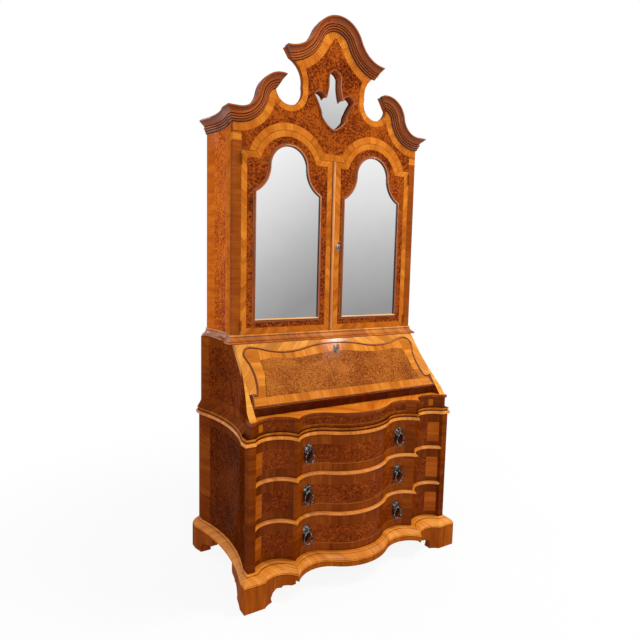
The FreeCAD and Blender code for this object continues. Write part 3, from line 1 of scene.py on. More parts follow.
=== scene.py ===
# %% [markdown]
# # A bureau cabinet in walnut veneer
#
# The cabinet stands in three stages: a chest of serpentine drawers on bracket feet, a writing
# section behind a sloping fall, and an upper case with two mirrored doors under a shaped pediment.
# The joiner's model is loaded first and stays where it is. This lesson gives it its finishes, and
# lays on it the veneer strips, reeded mouldings and metal fittings that a joiner's model leaves out.

# %% Load the joiner's model
import math

import bmesh
import bpy
import numpy as np
from mathutils import Matrix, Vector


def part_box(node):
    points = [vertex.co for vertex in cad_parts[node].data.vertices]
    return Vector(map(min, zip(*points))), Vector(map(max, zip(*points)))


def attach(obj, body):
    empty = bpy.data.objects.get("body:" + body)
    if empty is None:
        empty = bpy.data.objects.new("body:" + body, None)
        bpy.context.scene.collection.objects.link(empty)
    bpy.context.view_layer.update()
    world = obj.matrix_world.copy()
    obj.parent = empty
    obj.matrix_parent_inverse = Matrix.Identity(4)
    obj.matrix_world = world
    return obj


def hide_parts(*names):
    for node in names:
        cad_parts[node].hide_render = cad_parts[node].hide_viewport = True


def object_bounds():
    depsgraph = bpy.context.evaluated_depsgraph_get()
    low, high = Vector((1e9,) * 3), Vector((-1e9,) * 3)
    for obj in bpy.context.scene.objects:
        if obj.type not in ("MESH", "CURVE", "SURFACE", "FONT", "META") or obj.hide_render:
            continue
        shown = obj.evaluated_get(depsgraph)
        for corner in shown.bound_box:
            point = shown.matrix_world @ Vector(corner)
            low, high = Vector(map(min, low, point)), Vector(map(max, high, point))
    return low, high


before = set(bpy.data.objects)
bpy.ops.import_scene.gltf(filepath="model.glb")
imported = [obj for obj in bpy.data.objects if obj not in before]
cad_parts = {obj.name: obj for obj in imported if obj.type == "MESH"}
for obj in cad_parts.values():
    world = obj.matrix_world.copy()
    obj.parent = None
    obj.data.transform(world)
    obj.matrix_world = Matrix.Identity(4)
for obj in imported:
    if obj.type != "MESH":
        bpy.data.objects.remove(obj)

cabinet_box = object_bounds()
print("cabinet", [round(high - low, 3) for low, high in zip(*cabinet_box)], "metres")

# %% [markdown]
# ## Faces to work on
#
# A veneer strip or a moulding is drawn on a flat face and stands out of it. Each drawing could be
# turned into place with a rotation, but then its numbers would no longer be places on the cabinet.
# A small class that knows an origin and two directions keeps every drawing in plain metres.


# %% Flat faces
class Face:
    """A flat face: point = origin + a * across + b * up + c * out, where out is across x up."""

    def __init__(self, origin, across, up):
        self.origin = np.array(origin, float)
        self.across = np.array(across, float)
        self.up = np.array(up, float)
        self.out = np.cross(self.across, self.up)

    def place(self, a, b, c):
        """Points of the face, for numbers or for whole arrays of them."""
        return (self.origin + np.asarray(a)[..., None] * self.across
                + np.asarray(b)[..., None] * self.up + np.asarray(c)[..., None] * self.out)


front_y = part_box("pediment_board")[0].y
upper_front = Face((0, front_y, 0), (1, 0, 0), (0, 0, 1))

SLOPE_RUN, SLOPE_DROP = 0.231, 0.273
slope_length = math.hypot(SLOPE_RUN, SLOPE_DROP)
slope_up = (0, SLOPE_RUN / slope_length, SLOPE_DROP / slope_length)
SLOPE_TOP_Y = 0.0035
slope_top_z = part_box("bureau_top")[1].z
slope = Face((0, SLOPE_TOP_Y, slope_top_z), (1, 0, 0), slope_up)
print("front of the upper case at y", round(front_y, 4))
print("slope of", round(slope_length, 3), "metres")

# %% [markdown]
# ## From a grid of points to a mesh
#
# Every new piece here is a grid of points: steps along the piece, and steps round its section.
# Modelling by hand or with bevelled curves would also do, but a grid is a formula, so the same few
# lines make a strip, a reeded moulding, a bail and a rosette, each with a map along and across it.


# %% Grids into meshes
class Skin:
    """A closed skin over a grid[i, j]: i runs along the piece and j round its section.

    The map's first number is the length run along the piece, the second the length round it.
    Its cuts are planes (point, normal) that trim away what lies on the normal's side."""

    def __init__(self, grid, ring=False, cuts=()):
        self.cuts = list(cuts)
        steps, around = grid.shape[:2]
        spans = steps if ring else steps - 1
        i, j = [a.ravel() for a in np.meshgrid(np.arange(spans), np.arange(around), indexing="ij")]
        i_next, j_next = (i + 1) % steps, (j + 1) % around
        corners = [i * around + j, i_next * around + j, i_next * around + j_next, i * around + j_next]
        self.points = grid.reshape(-1, 3)
        self.faces = np.stack(corners, axis=1).tolist()
        along = self.running_length(grid.mean(axis=1), ring)
        round_it = self.running_length(grid[0], True)
        self.map = np.stack([np.stack([along[i + a], round_it[j + b]], axis=1)
                             for a, b in ((0, 0), (1, 0), (1, 1), (0, 1))], axis=1).reshape(-1, 2)
        if not ring:
            ends = [list(range(around))[::-1], list(range((steps - 1) * around, steps * around))]
            self.faces += ends
            self.map = np.concatenate([self.map, np.zeros((2 * around, 2))])

    @staticmethod
    def running_length(line, ring):
        """Distance run from the first point of a line to each point, and back to the first on a ring."""
        joined = np.concatenate([line, line[:1]]) if ring else line
        steps = np.linalg.norm(np.diff(joined, axis=0), axis=1)
        return np.concatenate([[0.0], np.cumsum(steps)])

# %% [markdown]
# A new piece may be several skins. Each is welded, trimmed by its planes and closed again. They are
# joined into one mesh, which rides on a body of the frame and fills one material slot. So a door or
# a bail takes its new pieces along when it moves.

# %% From skins to a piece on a body
SMOOTH_ANGLE = math.radians(38)
WELD = 1e-6
SHORTEST_STEP = 4e-4


def trimmed(skin, name):
    """A mesh of one skin, welded, trimmed by its planes and closed again."""
    mesh = bpy.data.meshes.new(name)
    mesh.from_pydata(skin.points.tolist(), [], skin.faces)
    mesh.uv_layers.new(name="veneer").data.foreach_set("uv", skin.map.astype(np.float32).ravel())
    work = bmesh.new()
    work.from_mesh(mesh)
    bmesh.ops.remove_doubles(work, verts=work.verts, dist=WELD)
    for place, away in skin.cuts:
        bmesh.ops.bisect_plane(work, geom=work.verts[:] + work.edges[:] + work.faces[:], plane_co=place,
                               plane_no=away, clear_outer=True)
        open_edges = [edge for edge in work.edges if edge.is_boundary]
        bmesh.ops.holes_fill(work, edges=open_edges, sides=0)
    bmesh.ops.recalc_face_normals(work, faces=work.faces)
    work.to_mesh(mesh)
    work.free()
    return mesh


def piece(name, skins, finish, body, replaced=()):
    """Joins skins into one piece and hangs it on a body."""
    joined = bmesh.new()
    for skin in skins:
        part = trimmed(skin, name + "_part")
        joined.from_mesh(part)
        bpy.data.meshes.remove(part)
    mesh = bpy.data.meshes.new(name)
    joined.to_mesh(mesh)
    joined.free()
    mesh.shade_smooth()
    mesh.set_sharp_from_angle(angle=SMOOTH_ANGLE)
    made = bpy.data.objects.new(name, mesh)
    bpy.context.scene.collection.objects.link(made)
    mesh.materials.append(finish)
    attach(made, body)
    if replaced:
        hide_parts(*replaced)
    print(name, len(mesh.polygons), "faces")
    return made

# %% [markdown]
# ## Lines on a face
#
# A joiner draws the pediment with a compass: arcs that run into each other, and square corners.
# The helpers below do the same. Where a strip turns a corner, its edges must stay parallel, so the
# sideways direction at a corner is stretched as a mitre is.


# %% Compass work and mitres
def arc(centre, radius, start, end, steps=24):
    """Points on a circle from one angle to another: centre + radius * (cos, sin), in degrees."""
    turn = np.radians(np.linspace(start, end, steps))
    return np.stack([centre[0] + radius * np.cos(turn), centre[1] + radius * np.sin(turn)], axis=1)


def run(*parts):
    """One line through several, without the points that two of them all but share."""
    line = np.concatenate([np.atleast_2d(np.array(part, float)) for part in parts])
    keep = np.concatenate([[True], np.linalg.norm(np.diff(line, axis=0), axis=1) > SHORTEST_STEP])
    return line[keep]


def flipped(line):
    """The mirror image of a line about the middle of the cabinet, run the other way."""
    return line[::-1] * (-1, 1)

# %% [markdown]
# A plane and a scratch stock run along a line and leave the same section everywhere. Sweeping a
# section of points does the same, and a veneer strip is the flattest section there is.


# %% Sweeps and veneer strips
def sideways(line, ring):
    """Unit vectors to the left of a line; at a corner, (n1 + n2) / (1 + n1 . n2) keeps edges parallel."""
    joined = np.concatenate([line, line[:1]]) if ring else line
    way = np.diff(joined, axis=0)
    way /= np.linalg.norm(way, axis=1)[:, None]
    left = np.stack([-way[:, 1], way[:, 0]], axis=1)
    before = np.roll(left, 1, axis=0) if ring else np.concatenate([left[:1], left])
    after = left if ring else np.concatenate([left, left[-1:]])
    return (before + after) / (1 + (before * after).sum(axis=1))[:, None]


def swept(face, line, section, ring=False, cuts=()):
    """Carries a section of (left, out) points along a line drawn on a face.

    Point = face at (line point + left * sideways), out of it by out."""
    side = sideways(line, ring)
    section = np.broadcast_to(section, (len(line),) + np.shape(section)[-2:])
    a = line[:, None, 0] + section[..., 0] * side[:, None, 0]
    b = line[:, None, 1] + section[..., 0] * side[:, None, 1]
    return Skin(face.place(a, b, section[..., 1]), ring, cuts)


VENEER_SINK, VENEER_LIFT = 0.0002, 0.00025


def strip(face, line, left, right, ring=False, cuts=()):
    """A veneer strip from one side distance of a line to another, let into the face it lies on."""
    left, right = [np.broadcast_to(edge, len(line)) for edge in (left, right)]
    heights = np.broadcast_to([-VENEER_SINK, -VENEER_SINK, VENEER_LIFT, VENEER_LIFT], (len(line), 4))
    section = np.stack([np.stack([left, right, right, left], axis=1), heights], axis=-1)
    return swept(face, line, section, ring, cuts)

# %% [markdown]
# ## Writing a finish
#
# A finish is a sum of noises, steps and ramps. Wiring each node by hand hides the recipe, so one
# class wraps a socket and lets Python's own + - * / < > add the Math nodes, and one method of the
# recipe adds any other node from its type, its settings and its inputs.


# %% Sockets that can be added and multiplied
class Signal:
    """A number or colour on its way through a finish. Arithmetic on it adds Math nodes."""

    def __init__(self, recipe, socket):
        self.recipe = recipe
        self.socket = socket

    def math(self, operation, *values):
        """Adds one Math node."""
        return self.recipe.node("Math", {"operation": operation}, dict(enumerate(values)))

    def __add__(self, other):
        return self.math("ADD", self, other)

    def __radd__(self, other):
        return self.math("ADD", other, self)

    def __sub__(self, other):
        return self.math("SUBTRACT", self, other)

    def __rsub__(self, other):
        return self.math("SUBTRACT", other, self)

    def __mul__(self, other):
        return self.math("MULTIPLY", self, other)

    def __rmul__(self, other):
        return self.math("MULTIPLY", other, self)

    def __truediv__(self, other):
        return self.math("DIVIDE", self, other)

    def __rtruediv__(self, other):
        return self.math("DIVIDE", other, self)

    def __lt__(self, other):
        return self.math("LESS_THAN", self, other)

    def __gt__(self, other):
        return self.math("GREATER_THAN", self, other)

    def __abs__(self):
        return self.math("ABSOLUTE", self)

# %% [markdown]
# The recipe owns the nodes. It sets a node's own settings first and then its sockets, because some
# settings change which sockets a node has.


# %% Recipes of nodes
class Recipe:
    """One finish: its owner, its shader and the node method that everything else uses."""

    def __init__(self, name, owner=None):
        self.material = owner or bpy.data.materials.new(name)
        self.material.use_nodes = True
        self.tree = self.material.node_tree
        self.shader = self.tree.nodes.get("Principled BSDF")

    def node(self, kind, settings=None, values=None, output=0):
        """Adds a node: settings first, then the values or links of its sockets. Returns one output."""
        made = self.tree.nodes.new("ShaderNode" + kind)
        for name, setting in (settings or {}).items():
            if name == "stops":
                self.set_stops(made.color_ramp.elements, setting)
            else:
                setattr(made, name, setting)
        for name, value in (values or {}).items():
            self.feed(made.inputs[name], value)
        return Signal(self, made.outputs[output])

    def feed(self, socket, value):
        """Links a signal to a socket, or sets the socket to a plain value."""
        if isinstance(value, Signal):
            self.tree.links.new(value.socket, socket)
        else:
            socket.default_value = value

    @staticmethod
    def set_stops(elements, stops):
        """Gives a colour ramp its stops: (position, colour)."""
        while len(elements) < len(stops):
            elements.new(1.0)
        for element, (position, colour) in zip(elements, stops):
            element.position = position
            element.color = colour

    def surface(self, **values):
        """Feeds the shader's own sockets, with underscores for the spaces in their names."""
        for name, value in values.items():
            self.feed(self.shader.inputs[name.replace("_", " ")], value)
        return self.material


def ink(red, green, blue):
    """A colour as shares of linear light, opaque."""
    return (red, green, blue, 1.0)


def grey(value):
    """A colour with no hue."""
    return ink(value, value, value)

# %% [markdown]
# ## Small parts of a recipe
#
# Most finishes read the place on the cabinet in metres, from Object coordinates, so a figure runs
# on from piece to piece as veneer from one flitch does. Strips read their own map instead, because
# there the grain turns with the strip.


# %% Places, noises and blends
def cabinet_place(recipe):
    """The place on the cabinet in metres."""
    return recipe.node("TexCoord", output="Object")


def strip_map(recipe):
    """Lengths along and across a strip, from its own map."""
    return split(recipe, recipe.node("UVMap", {"uv_map": "veneer"}))[:2]


def split(recipe, vector):
    """The three numbers of a vector."""
    return [recipe.node("SeparateXYZ", None, {0: vector}, output) for output in range(3)]


def on_cabinet(name):
    """A new recipe, the place on the cabinet and that place's three numbers."""
    recipe = Recipe(name)
    place = cabinet_place(recipe)
    return recipe, place, split(recipe, place)


def point(recipe, x=0.0, y=0.0, z=0.0):
    """A vector from three numbers."""
    return recipe.node("CombineXYZ", None, {0: x, 1: y, 2: z})


def dot(recipe, vector, way):
    """How far a vector goes along a direction: vector . way."""
    return recipe.node("VectorMath", {"operation": "DOT_PRODUCT"}, {0: vector, 1: tuple(way)}, "Value")


def facing(recipe, way):
    """How far the surface is turned to a direction: normal . way."""
    return dot(recipe, recipe.node("TexCoord", output="Normal"), way)

# %% [markdown]
# Noise gives the figure, a ramp turns an amount into a colour, and a blend lays one veneer over
# another by a mask. A mask is 0 or 1, so two masks are joined by a product or by the larger one.


# %% Noises, blends and masks
def noise(recipe, vector, scale, detail=2.0, rough=0.5, twist=0.0, output="Fac"):
    """Cloudy noise at a place: about 0.5 on average, with more octaves as detail grows."""
    return recipe.node("TexNoise", None, {"Vector": vector, "Scale": scale, "Detail": detail,
                                          "Roughness": rough, "Distortion": twist}, output)


def ramp(recipe, amount, stops):
    """The colour of an amount, between stops of (amount, colour)."""
    return recipe.node("ValToRGB", {"stops": stops}, {0: amount}, "Color")


def blend(recipe, amount, under, over, way="MIX"):
    """The colour over laid on the colour under, as far as amount says."""
    return recipe.node("Mix", {"data_type": "RGBA", "blend_type": way}, {0: amount, 6: under, 7: over}, 2)


def both(one, other):
    """A mask that is 1 where two masks are."""
    return one * other


def either(one, other):
    """A mask that is 1 where one of two masks is."""
    return one.math("MAXIMUM", one, other)


def between(value, low, high):
    """A mask that is 1 where a value lies between two others."""
    return both(value > low, value < high)

# %% [markdown]
# ## The woods
#
# Burr walnut is cut from a growth full of buds: its figure curls, with dark eyes. One noise pushes
# the place about before finer noises read it, which curls the figure. A crossband is short grain
# set across a strip, in pieces with fine joints between them. Long grain serves the mouldings.
# Under a French polish all of them share one gloss, made here once.

# %% Figures of the veneers
EYE_SIZE = 0.010
PUSH = 0.024
PIECE_JOINT = 0.0011


def toned(recipe, tone, tones, places=(0.16, 0.5, 0.84)):
    """The colour of a tone, between the dark, the middle and the light of a wood."""
    return ramp(recipe, tone, list(zip(places, tones)))


def burr(recipe, place, tones, fineness=1.0, contrast=1.7):
    """Curled figure: noise at a place pushed about by a broader noise, with dark eyes and fine fleck."""
    push = noise(recipe, place, 26.0, 3.0, 0.55, output="Color")
    pushed = recipe.node("VectorMath", {"operation": "MULTIPLY_ADD"},
                         {0: push, 1: (PUSH, PUSH, PUSH), 2: place})
    curl = noise(recipe, pushed, 72.0 * fineness, 6.0, 0.68, 1.6)
    eyes = recipe.node("TexVoronoi", {"feature": "SMOOTH_F1"},
                       {"Vector": pushed, "Scale": fineness / EYE_SIZE, "Smoothness": 0.5}, "Distance")
    fleck = noise(recipe, pushed, 300.0, 2.0, 0.6)
    cloud = noise(recipe, place, 7.0, 2.0)
    tone = (curl * 1.3 + eyes * 0.36 + fleck * 0.5 + cloud * 0.5 - 1.27) * contrast + 0.5
    return toned(recipe, tone, tones), tone


def short_grain(recipe, along, across, tones, length=0.13, seed=0.0):
    """Grain across a strip: fine and broad lines that change along it, in pieces of one length."""
    fine = noise(recipe, point(recipe, along * 230.0, across * 9.0, seed), 1.0, 3.0, 0.6)
    broad = noise(recipe, point(recipe, along * 38.0, across * 6.0, seed + 3.0), 1.0, 2.0)
    drift = noise(recipe, point(recipe, along * 6.0, across * 2.0, seed + 7.0), 1.0, 2.0)
    steps = (along + drift * length * 0.6) / length
    part = recipe.node("TexWhiteNoise", {"noise_dimensions": "1D"}, {"W": steps.math("FLOOR", steps)},
                       "Value")
    joint = steps.math("FRACT", steps) < PIECE_JOINT / length
    tone = fine * 0.5 + broad * 0.55 + part * 0.2 - 0.13 - joint * 0.4
    return toned(recipe, tone, tones, (0.14, 0.48, 0.84)), tone


def long_grain(recipe, along, across, tones, seed=0.0):
    """Grain that runs with a piece: lines that change quickly across it and slowly along it."""
    sway = noise(recipe, point(recipe, along * 5.0, across * 8.0, seed), 1.0, 2.0)
    fine = noise(recipe, point(recipe, along * 9.0, across * 420.0 + sway * 6.0, seed), 1.0, 3.0, 0.6)
    broad = noise(recipe, point(recipe, along * 4.0, across * 70.0 + sway * 3.0, seed + 5.0), 1.0, 2.0)
    tone = fine * 0.5 + broad * 0.6 + sway * 0.3 - 0.2
    return toned(recipe, tone, tones), tone

# %% [markdown]
# French polish is shellac rubbed on in thin skins, so the gloss lies over the wood and not in it. One
# function gives it to every wood, and only the amount of coat tells new polish from dull.

# %% French polish
POLISH_ROUGH = 0.42
COAT_ROUGH = 0.10


def polished(recipe, colour, tone, coat=0.10, bump=0.05):
    """French polish over wood: the gloss is all in a thin clear coat, and the wood under it is matt."""
    wear = noise(recipe, cabinet_place(recipe), 5.0, 3.0)
    relief = recipe.node("Bump", None, {"Strength": bump, "Distance": 0.0006, "Height": tone})
    return recipe.surface(Base_Color=colour, Roughness=wear * 0.16 + POLISH_ROUGH, Coat_Weight=coat,
                          Coat_Roughness=COAT_ROUGH, Specular_IOR_Level=0.0, Normal=relief)

# %% [markdown]
# Each wood is three tones: dark, middle and light. They were chosen by setting renders beside the
# photograph under these lamps, so a change of the lamps would call for other tones.

# %% Tones of the woods
DEEP_BURR = (ink(0.052, 0.0072, 0.0003), ink(0.150, 0.0215, 0.0010), ink(0.32, 0.062, 0.005))
WARM_BURR = (ink(0.042, 0.0048, 0.0003), ink(0.162, 0.0220, 0.0008), ink(0.38, 0.078, 0.0045))
FALL_BURR = (ink(0.085, 0.014, 0.001), ink(0.235, 0.048, 0.0035), ink(0.48, 0.155, 0.020))
SIDE_BURR = (ink(0.034, 0.0045, 0.0003), ink(0.080, 0.0110, 0.0005), ink(0.17, 0.030, 0.0015))
BUREAU_BURR = (ink(0.050, 0.0066, 0.0004), ink(0.130, 0.0178, 0.0007), ink(0.26, 0.047, 0.0026))
UPPER_BURR = (ink(0.150, 0.020, 0.0010), ink(0.460, 0.073, 0.003), ink(0.80, 0.19, 0.012))
GOLD_BAND = (ink(0.22, 0.045, 0.002), ink(0.50, 0.130, 0.009), ink(0.80, 0.29, 0.030))
SLOPE_BAND = (ink(0.27, 0.060, 0.004), ink(0.55, 0.158, 0.013), ink(0.84, 0.34, 0.050))
SLANT_BAND = (ink(0.30, 0.085, 0.008), ink(0.61, 0.205, 0.022), ink(0.90, 0.42, 0.075))
CHEEK_BAND = (ink(0.35, 0.105, 0.011), ink(0.70, 0.255, 0.032), ink(0.94, 0.50, 0.10))
LEDGE_BAND = (ink(0.34, 0.070, 0.004), ink(0.68, 0.175, 0.012), ink(0.92, 0.36, 0.040))
UPPER_BAND = (ink(0.30, 0.055, 0.003), ink(0.60, 0.122, 0.005), ink(0.84, 0.26, 0.018))
HONEY_BAND = (ink(0.19, 0.037, 0.002), ink(0.38, 0.080, 0.005), ink(0.62, 0.175, 0.014))
FOOT_BAND = (ink(0.16, 0.030, 0.0015), ink(0.32, 0.064, 0.004), ink(0.54, 0.145, 0.011))
BROWN_BAND = (ink(0.085, 0.014, 0.001), ink(0.205, 0.037, 0.0020), ink(0.38, 0.090, 0.007))
DARK_BAND = (ink(0.055, 0.009, 0.0005), ink(0.145, 0.024, 0.0014), ink(0.28, 0.060, 0.004))
RED_MOULD = (ink(0.110, 0.018, 0.001), ink(0.320, 0.060, 0.0035), ink(0.60, 0.170, 0.015))
HONEY_MOULD = (ink(0.18, 0.038, 0.002), ink(0.43, 0.112, 0.009), ink(0.70, 0.25, 0.030))
GOLD_BEAD = (ink(0.38, 0.095, 0.008), ink(0.74, 0.235, 0.024), ink(0.95, 0.46, 0.085))
STRINGING = ink(0.50, 0.16, 0.02)
PALE_WOOD = (ink(0.20, 0.085, 0.028), ink(0.36, 0.17, 0.06), ink(0.50, 0.27, 0.11))
BACK_WOOD = (ink(0.07, 0.03, 0.012), ink(0.15, 0.07, 0.028), ink(0.24, 0.125, 0.055))
print("woods ready, from", DEEP_BURR[1][:3], "to", GOLD_BEAD[1][:3])

# %% [markdown]
# ## Finishes of the strips and mouldings
#
# Strips and swept mouldings carry a map, so the grain follows them round a curve. One function
# makes each kind, and the tones tell the gold crossband of the doors from the redder crest.


# %% Finishes that follow a piece
def banding(name, tones, length):
    """A crossband's polish, in pieces of one length."""
    recipe = Recipe(name)
    along, across = strip_map(recipe)
    return polished(recipe, *short_grain(recipe, along, across, tones, length))


def moulded(name, tones, shades, coat):
    """Long grain on a moulding, darkened by painted shade: a list of (share of the way round, grey)."""
    recipe = Recipe(name)
    along, across = strip_map(recipe)
    colour, tone = long_grain(recipe, along, across, tones)
    way_round = shades[-1][0]
    stops = [(place / way_round, grey(value)) for place, value in shades]
    shade = ramp(recipe, across / way_round, stops)
    return polished(recipe, blend(recipe, 1.0, colour, shade, "MULTIPLY"), tone, coat)


gold_banding = banding("gold_crossband", GOLD_BAND, length=0.105)
print("made", gold_banding.name)

# %% [markdown]
# ## Finishes of the joiner's pieces
#
# The joiner's pieces carry no map, so their finishes mark out panels with masks on the place: a
# burr panel inside, crossbands round it, a light string between. Each mask is a comparison, so the
# edge between two veneers is as sharp as a knife cut.


# %% Upright panels with a back and a front band
def side_veneer(name, tones, back_band, front_band, back_edge, front_edge, foot, head):
    """A cabinet side: burr between a band at the back, one at the front, and edges at foot and head."""
    recipe, place, (x, y, z) = on_cabinet(name)
    panel, tone = burr(recipe, place, tones)
    back, _ = short_grain(recipe, z, y, back_band, length=0.16)
    front, _ = short_grain(recipe, z, y, front_band, length=0.21, seed=11.0)
    level, _ = short_grain(recipe, y, z, front_band, length=0.19, seed=23.0)
    colour = blend(recipe, either(z < foot, z > head), panel, level)
    colour = blend(recipe, y > back_edge, colour, back)
    colour = blend(recipe, y < front_edge, colour, front)
    return recipe, place, colour, tone


def depth(distance):
    """A distance in front of the back of the cabinet, as a place along Y."""
    return cabinet_box[1].y - distance


recipe, place, colour, tone = side_veneer("upper_side_veneer", UPPER_BURR, UPPER_BAND, UPPER_BAND,
                                          back_edge=depth(0.073), front_edge=depth(0.19),
                                          foot=0.0, head=3.0)
upper_side_finish = polished(recipe, colour, tone, coat=0.07)
recipe, place, colour, tone = side_veneer("chest_side_veneer", SIDE_BURR, BROWN_BAND, DARK_BAND,
                                          back_edge=depth(0.105), front_edge=depth(0.556),
                                          foot=0.0, head=0.630)
chest_side_finish = polished(recipe, colour, tone, coat=0.03)
print("made", upper_side_finish.name, "and", chest_side_finish.name)

# %% [markdown]
# The writing section's sides also show the slanted cheek on the slope, in gold. A point is on it
# when its distance to the slope's plane is next to nothing, so the mask is a dot product.

# %% Sides of the writing section
NEAR = 0.0006
CHEEK_INNER, CHEEK_BACK = 0.4985, 0.45


def from_slope(recipe, place, way):
    """Distance of a place from the top edge of the slope along a direction: (place - origin) . way."""
    reach = recipe.node("VectorMath", {"operation": "SUBTRACT"}, {0: place, 1: tuple(slope.origin)})
    return dot(recipe, reach, way)


recipe, place, colour, tone = side_veneer("bureau_side_veneer", BUREAU_BURR, BROWN_BAND, BROWN_BAND,
                                          back_edge=depth(0.078), front_edge=-1.0, foot=0.765, head=1.010)
across, outwards, _ = split(recipe, place)
down = from_slope(recipe, place, -slope.up)
inner_end, _ = short_grain(recipe, across, down, DARK_BAND, length=0.3)
at_cheek = both(abs(across) < CHEEK_INNER, outwards < depth(CHEEK_BACK))
colour = blend(recipe, at_cheek, colour, inner_end)
cheek, _ = short_grain(recipe, down, across, CHEEK_BAND, length=0.12)
colour = blend(recipe, from_slope(recipe, place, slope.out) > -NEAR, colour, cheek)
bureau_side_finish = polished(recipe, colour, tone, coat=0.03)
print("made", bureau_side_finish.name)

# %% [markdown]
# Each drawer front has a burr panel on its bow, one in each outer hollow, gold strips at its two
# ends, crossbands above and below, and a fine light string where band and panel meet.

# %% Drawer fronts
DRAWERS = ("bottom", "middle", "top")
MIDDLE_PANEL, CUSP_STRIP, OUTER_PANEL, END_STRIP = 0.284, 0.331, 0.345, 0.457
BAND_ABOVE, BAND_BELOW = 0.043, 0.036
STRING = 0.0022
FRONT_BACK = 0.517
HANDLE_ACROSS, HANDLE_SHARE = 0.250, 0.50
# Each handle gets a dark patch painted round it, darkest behind its bail.
DARK_PATCH = ink(0.010, 0.002, 0.0003)
DARK_PATCH_INNER, DARK_PATCH_OUTER, DARK_PATCH_FLATTENED = 0.017, 0.030, 0.72


def drawer_veneer(name, low, high, above, below, seed, dark_patch_depth=0.88, corner=1.0):
    """Masks across by |x| and up by z: end strips, panels, and bands above and below them.

    A dark patch is painted round each handle, darkest behind its bail."""
    recipe, place, (x, y, z) = on_cabinet(name)
    x = abs(x)
    foot, head = low + below, high - above
    panel, tone = burr(recipe, place, DEEP_BURR, contrast=1.1)
    level, _ = short_grain(recipe, x, z, BROWN_BAND, 0.085, seed)
    dark_level, _ = short_grain(recipe, x, z, DARK_BAND, 0.07, seed + 4.0)
    upright, _ = short_grain(recipe, z, x, DARK_BAND, 0.09, seed + 1.0)
    cusp, _ = short_grain(recipe, z, x, BROWN_BAND, 0.13, seed + 5.0)
    ends, _ = short_grain(recipe, z, x, HONEY_BAND, 0.12, seed + 2.0)
    in_panel = either(between(x, OUTER_PANEL, END_STRIP), x < MIDDLE_PANEL)
    handle_height = HANDLE_SHARE * (high - low)
    at_handle = point(recipe, x - HANDLE_ACROSS, 0.0, (z - low - handle_height) * DARK_PATCH_FLATTENED)
    away = recipe.node("VectorMath", {"operation": "LENGTH"}, {0: at_handle}, "Value")
    dark_patch = recipe.node("MapRange", {"interpolation_type": "SMOOTHSTEP"},
                         {"Value": away, "From Min": DARK_PATCH_INNER, "From Max": DARK_PATCH_OUTER,
                          "To Min": dark_patch_depth, "To Max": 0.0})
    wood, _ = long_grain(recipe, x, z, PALE_WOOD, seed)
    layers = [(both(in_panel, between(z, foot, head)), panel),
              (between(x, MIDDLE_PANEL, CUSP_STRIP), cusp),
              (between(x, CUSP_STRIP, OUTER_PANEL), upright),
              (both(between(z, foot - STRING, foot), x < MIDDLE_PANEL) * 0.6, STRINGING),
              (both(x > END_STRIP, between(z, low + 0.6 * below, head)), ends),
              (x > corner, upright),
              (dark_patch, DARK_PATCH),
              (y > depth(FRONT_BACK), wood)]
    colour = blend(recipe, x < MIDDLE_PANEL, dark_level, level)
    for mask, over in layers:
        colour = blend(recipe, mask, colour, over)
    return polished(recipe, colour, tone, coat=0.08)

# %% [markdown]
# The three drawers differ in height and in the joints of their bands. The frieze rail over them is
# veneered like a low drawer front, but it has no handle and no dark patch round one.

# %% Three drawers and the frieze
drawer_finishes = {}
for number, name in enumerate(DRAWERS):
    lowest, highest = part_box(name + "_drawer")
    drawer_finishes[name] = drawer_veneer(name + "_drawer_veneer", lowest.z, highest.z, BAND_ABOVE,
                                          BAND_BELOW, seed=float(number))
lowest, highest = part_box("frieze_rail")
frieze_finish = drawer_veneer("frieze_veneer", lowest.z, highest.z, above=0.010, below=0.013, seed=5.0,
                              dark_patch_depth=0.0, corner=0.478)
print("made", len(drawer_finishes), "drawer fronts and", frieze_finish.name)

# %% [markdown]
# The slanted frame and the ledge are laid in slanting pieces that meet at the middle. Their grain
# is read along a diagonal of the face, on |x|, so left and right mirror each other.


# %% Slanting veneers
def slanting(recipe, x, down, tones, seed=0.0):
    """Grain at 45 degrees: along the diagonal (|x| + down) / sqrt 2, across the other diagonal."""
    half = math.sqrt(0.5)
    return short_grain(recipe, (abs(x) - down) * half, (abs(x) + down) * half, tones, 0.05, seed)


recipe, place, (x, _, _) = on_cabinet("slant_frame_veneer")
down = from_slope(recipe, place, -slope.up)
slant_finish = polished(recipe, *slanting(recipe, x, down, SLANT_BAND), coat=0.25)

recipe, place, (x, y, z) = on_cabinet("ledge_veneer")
colour, tone = slanting(recipe, x, y, LEDGE_BAND, seed=4.0)
edge, _ = short_grain(recipe, x, z, BROWN_BAND, length=0.1, seed=6.0)
on_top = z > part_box("ledge_board")[1].z - NEAR
ledge_finish = polished(recipe, blend(recipe, on_top, edge, colour), tone, coat=0.2)
print("made", slant_finish.name, "and", ledge_finish.name)

# %% [markdown]
# The fall's border is laid level along its head and foot and upright at its sides, and the two
# meet on a mitre. The writing board behind it is plain, with a walnut lipping on its front edge.

# %% Fall and writing board
FALL_FIELD_HALF, FALL_FIELD_FOOT = 0.400, 0.261
recipe, place, (x, _, _) = on_cabinet("fall_veneer")
x = abs(x)
down = from_slope(recipe, place, -slope.up)
level, tone = short_grain(recipe, x, down, SLOPE_BAND, length=0.06)
upright, _ = short_grain(recipe, down, x, SLOPE_BAND, length=0.055, seed=9.0)
inner_side, _ = short_grain(recipe, x, down, DARK_BAND, length=0.2, seed=3.0)
past_mitre = (x - FALL_FIELD_HALF) > (down - FALL_FIELD_FOOT)
colour = blend(recipe, both(past_mitre, x > FALL_FIELD_HALF), level, upright)
colour = blend(recipe, from_slope(recipe, place, slope.out) < -NEAR, colour, inner_side)
fall_finish = polished(recipe, colour, tone, coat=0.1)

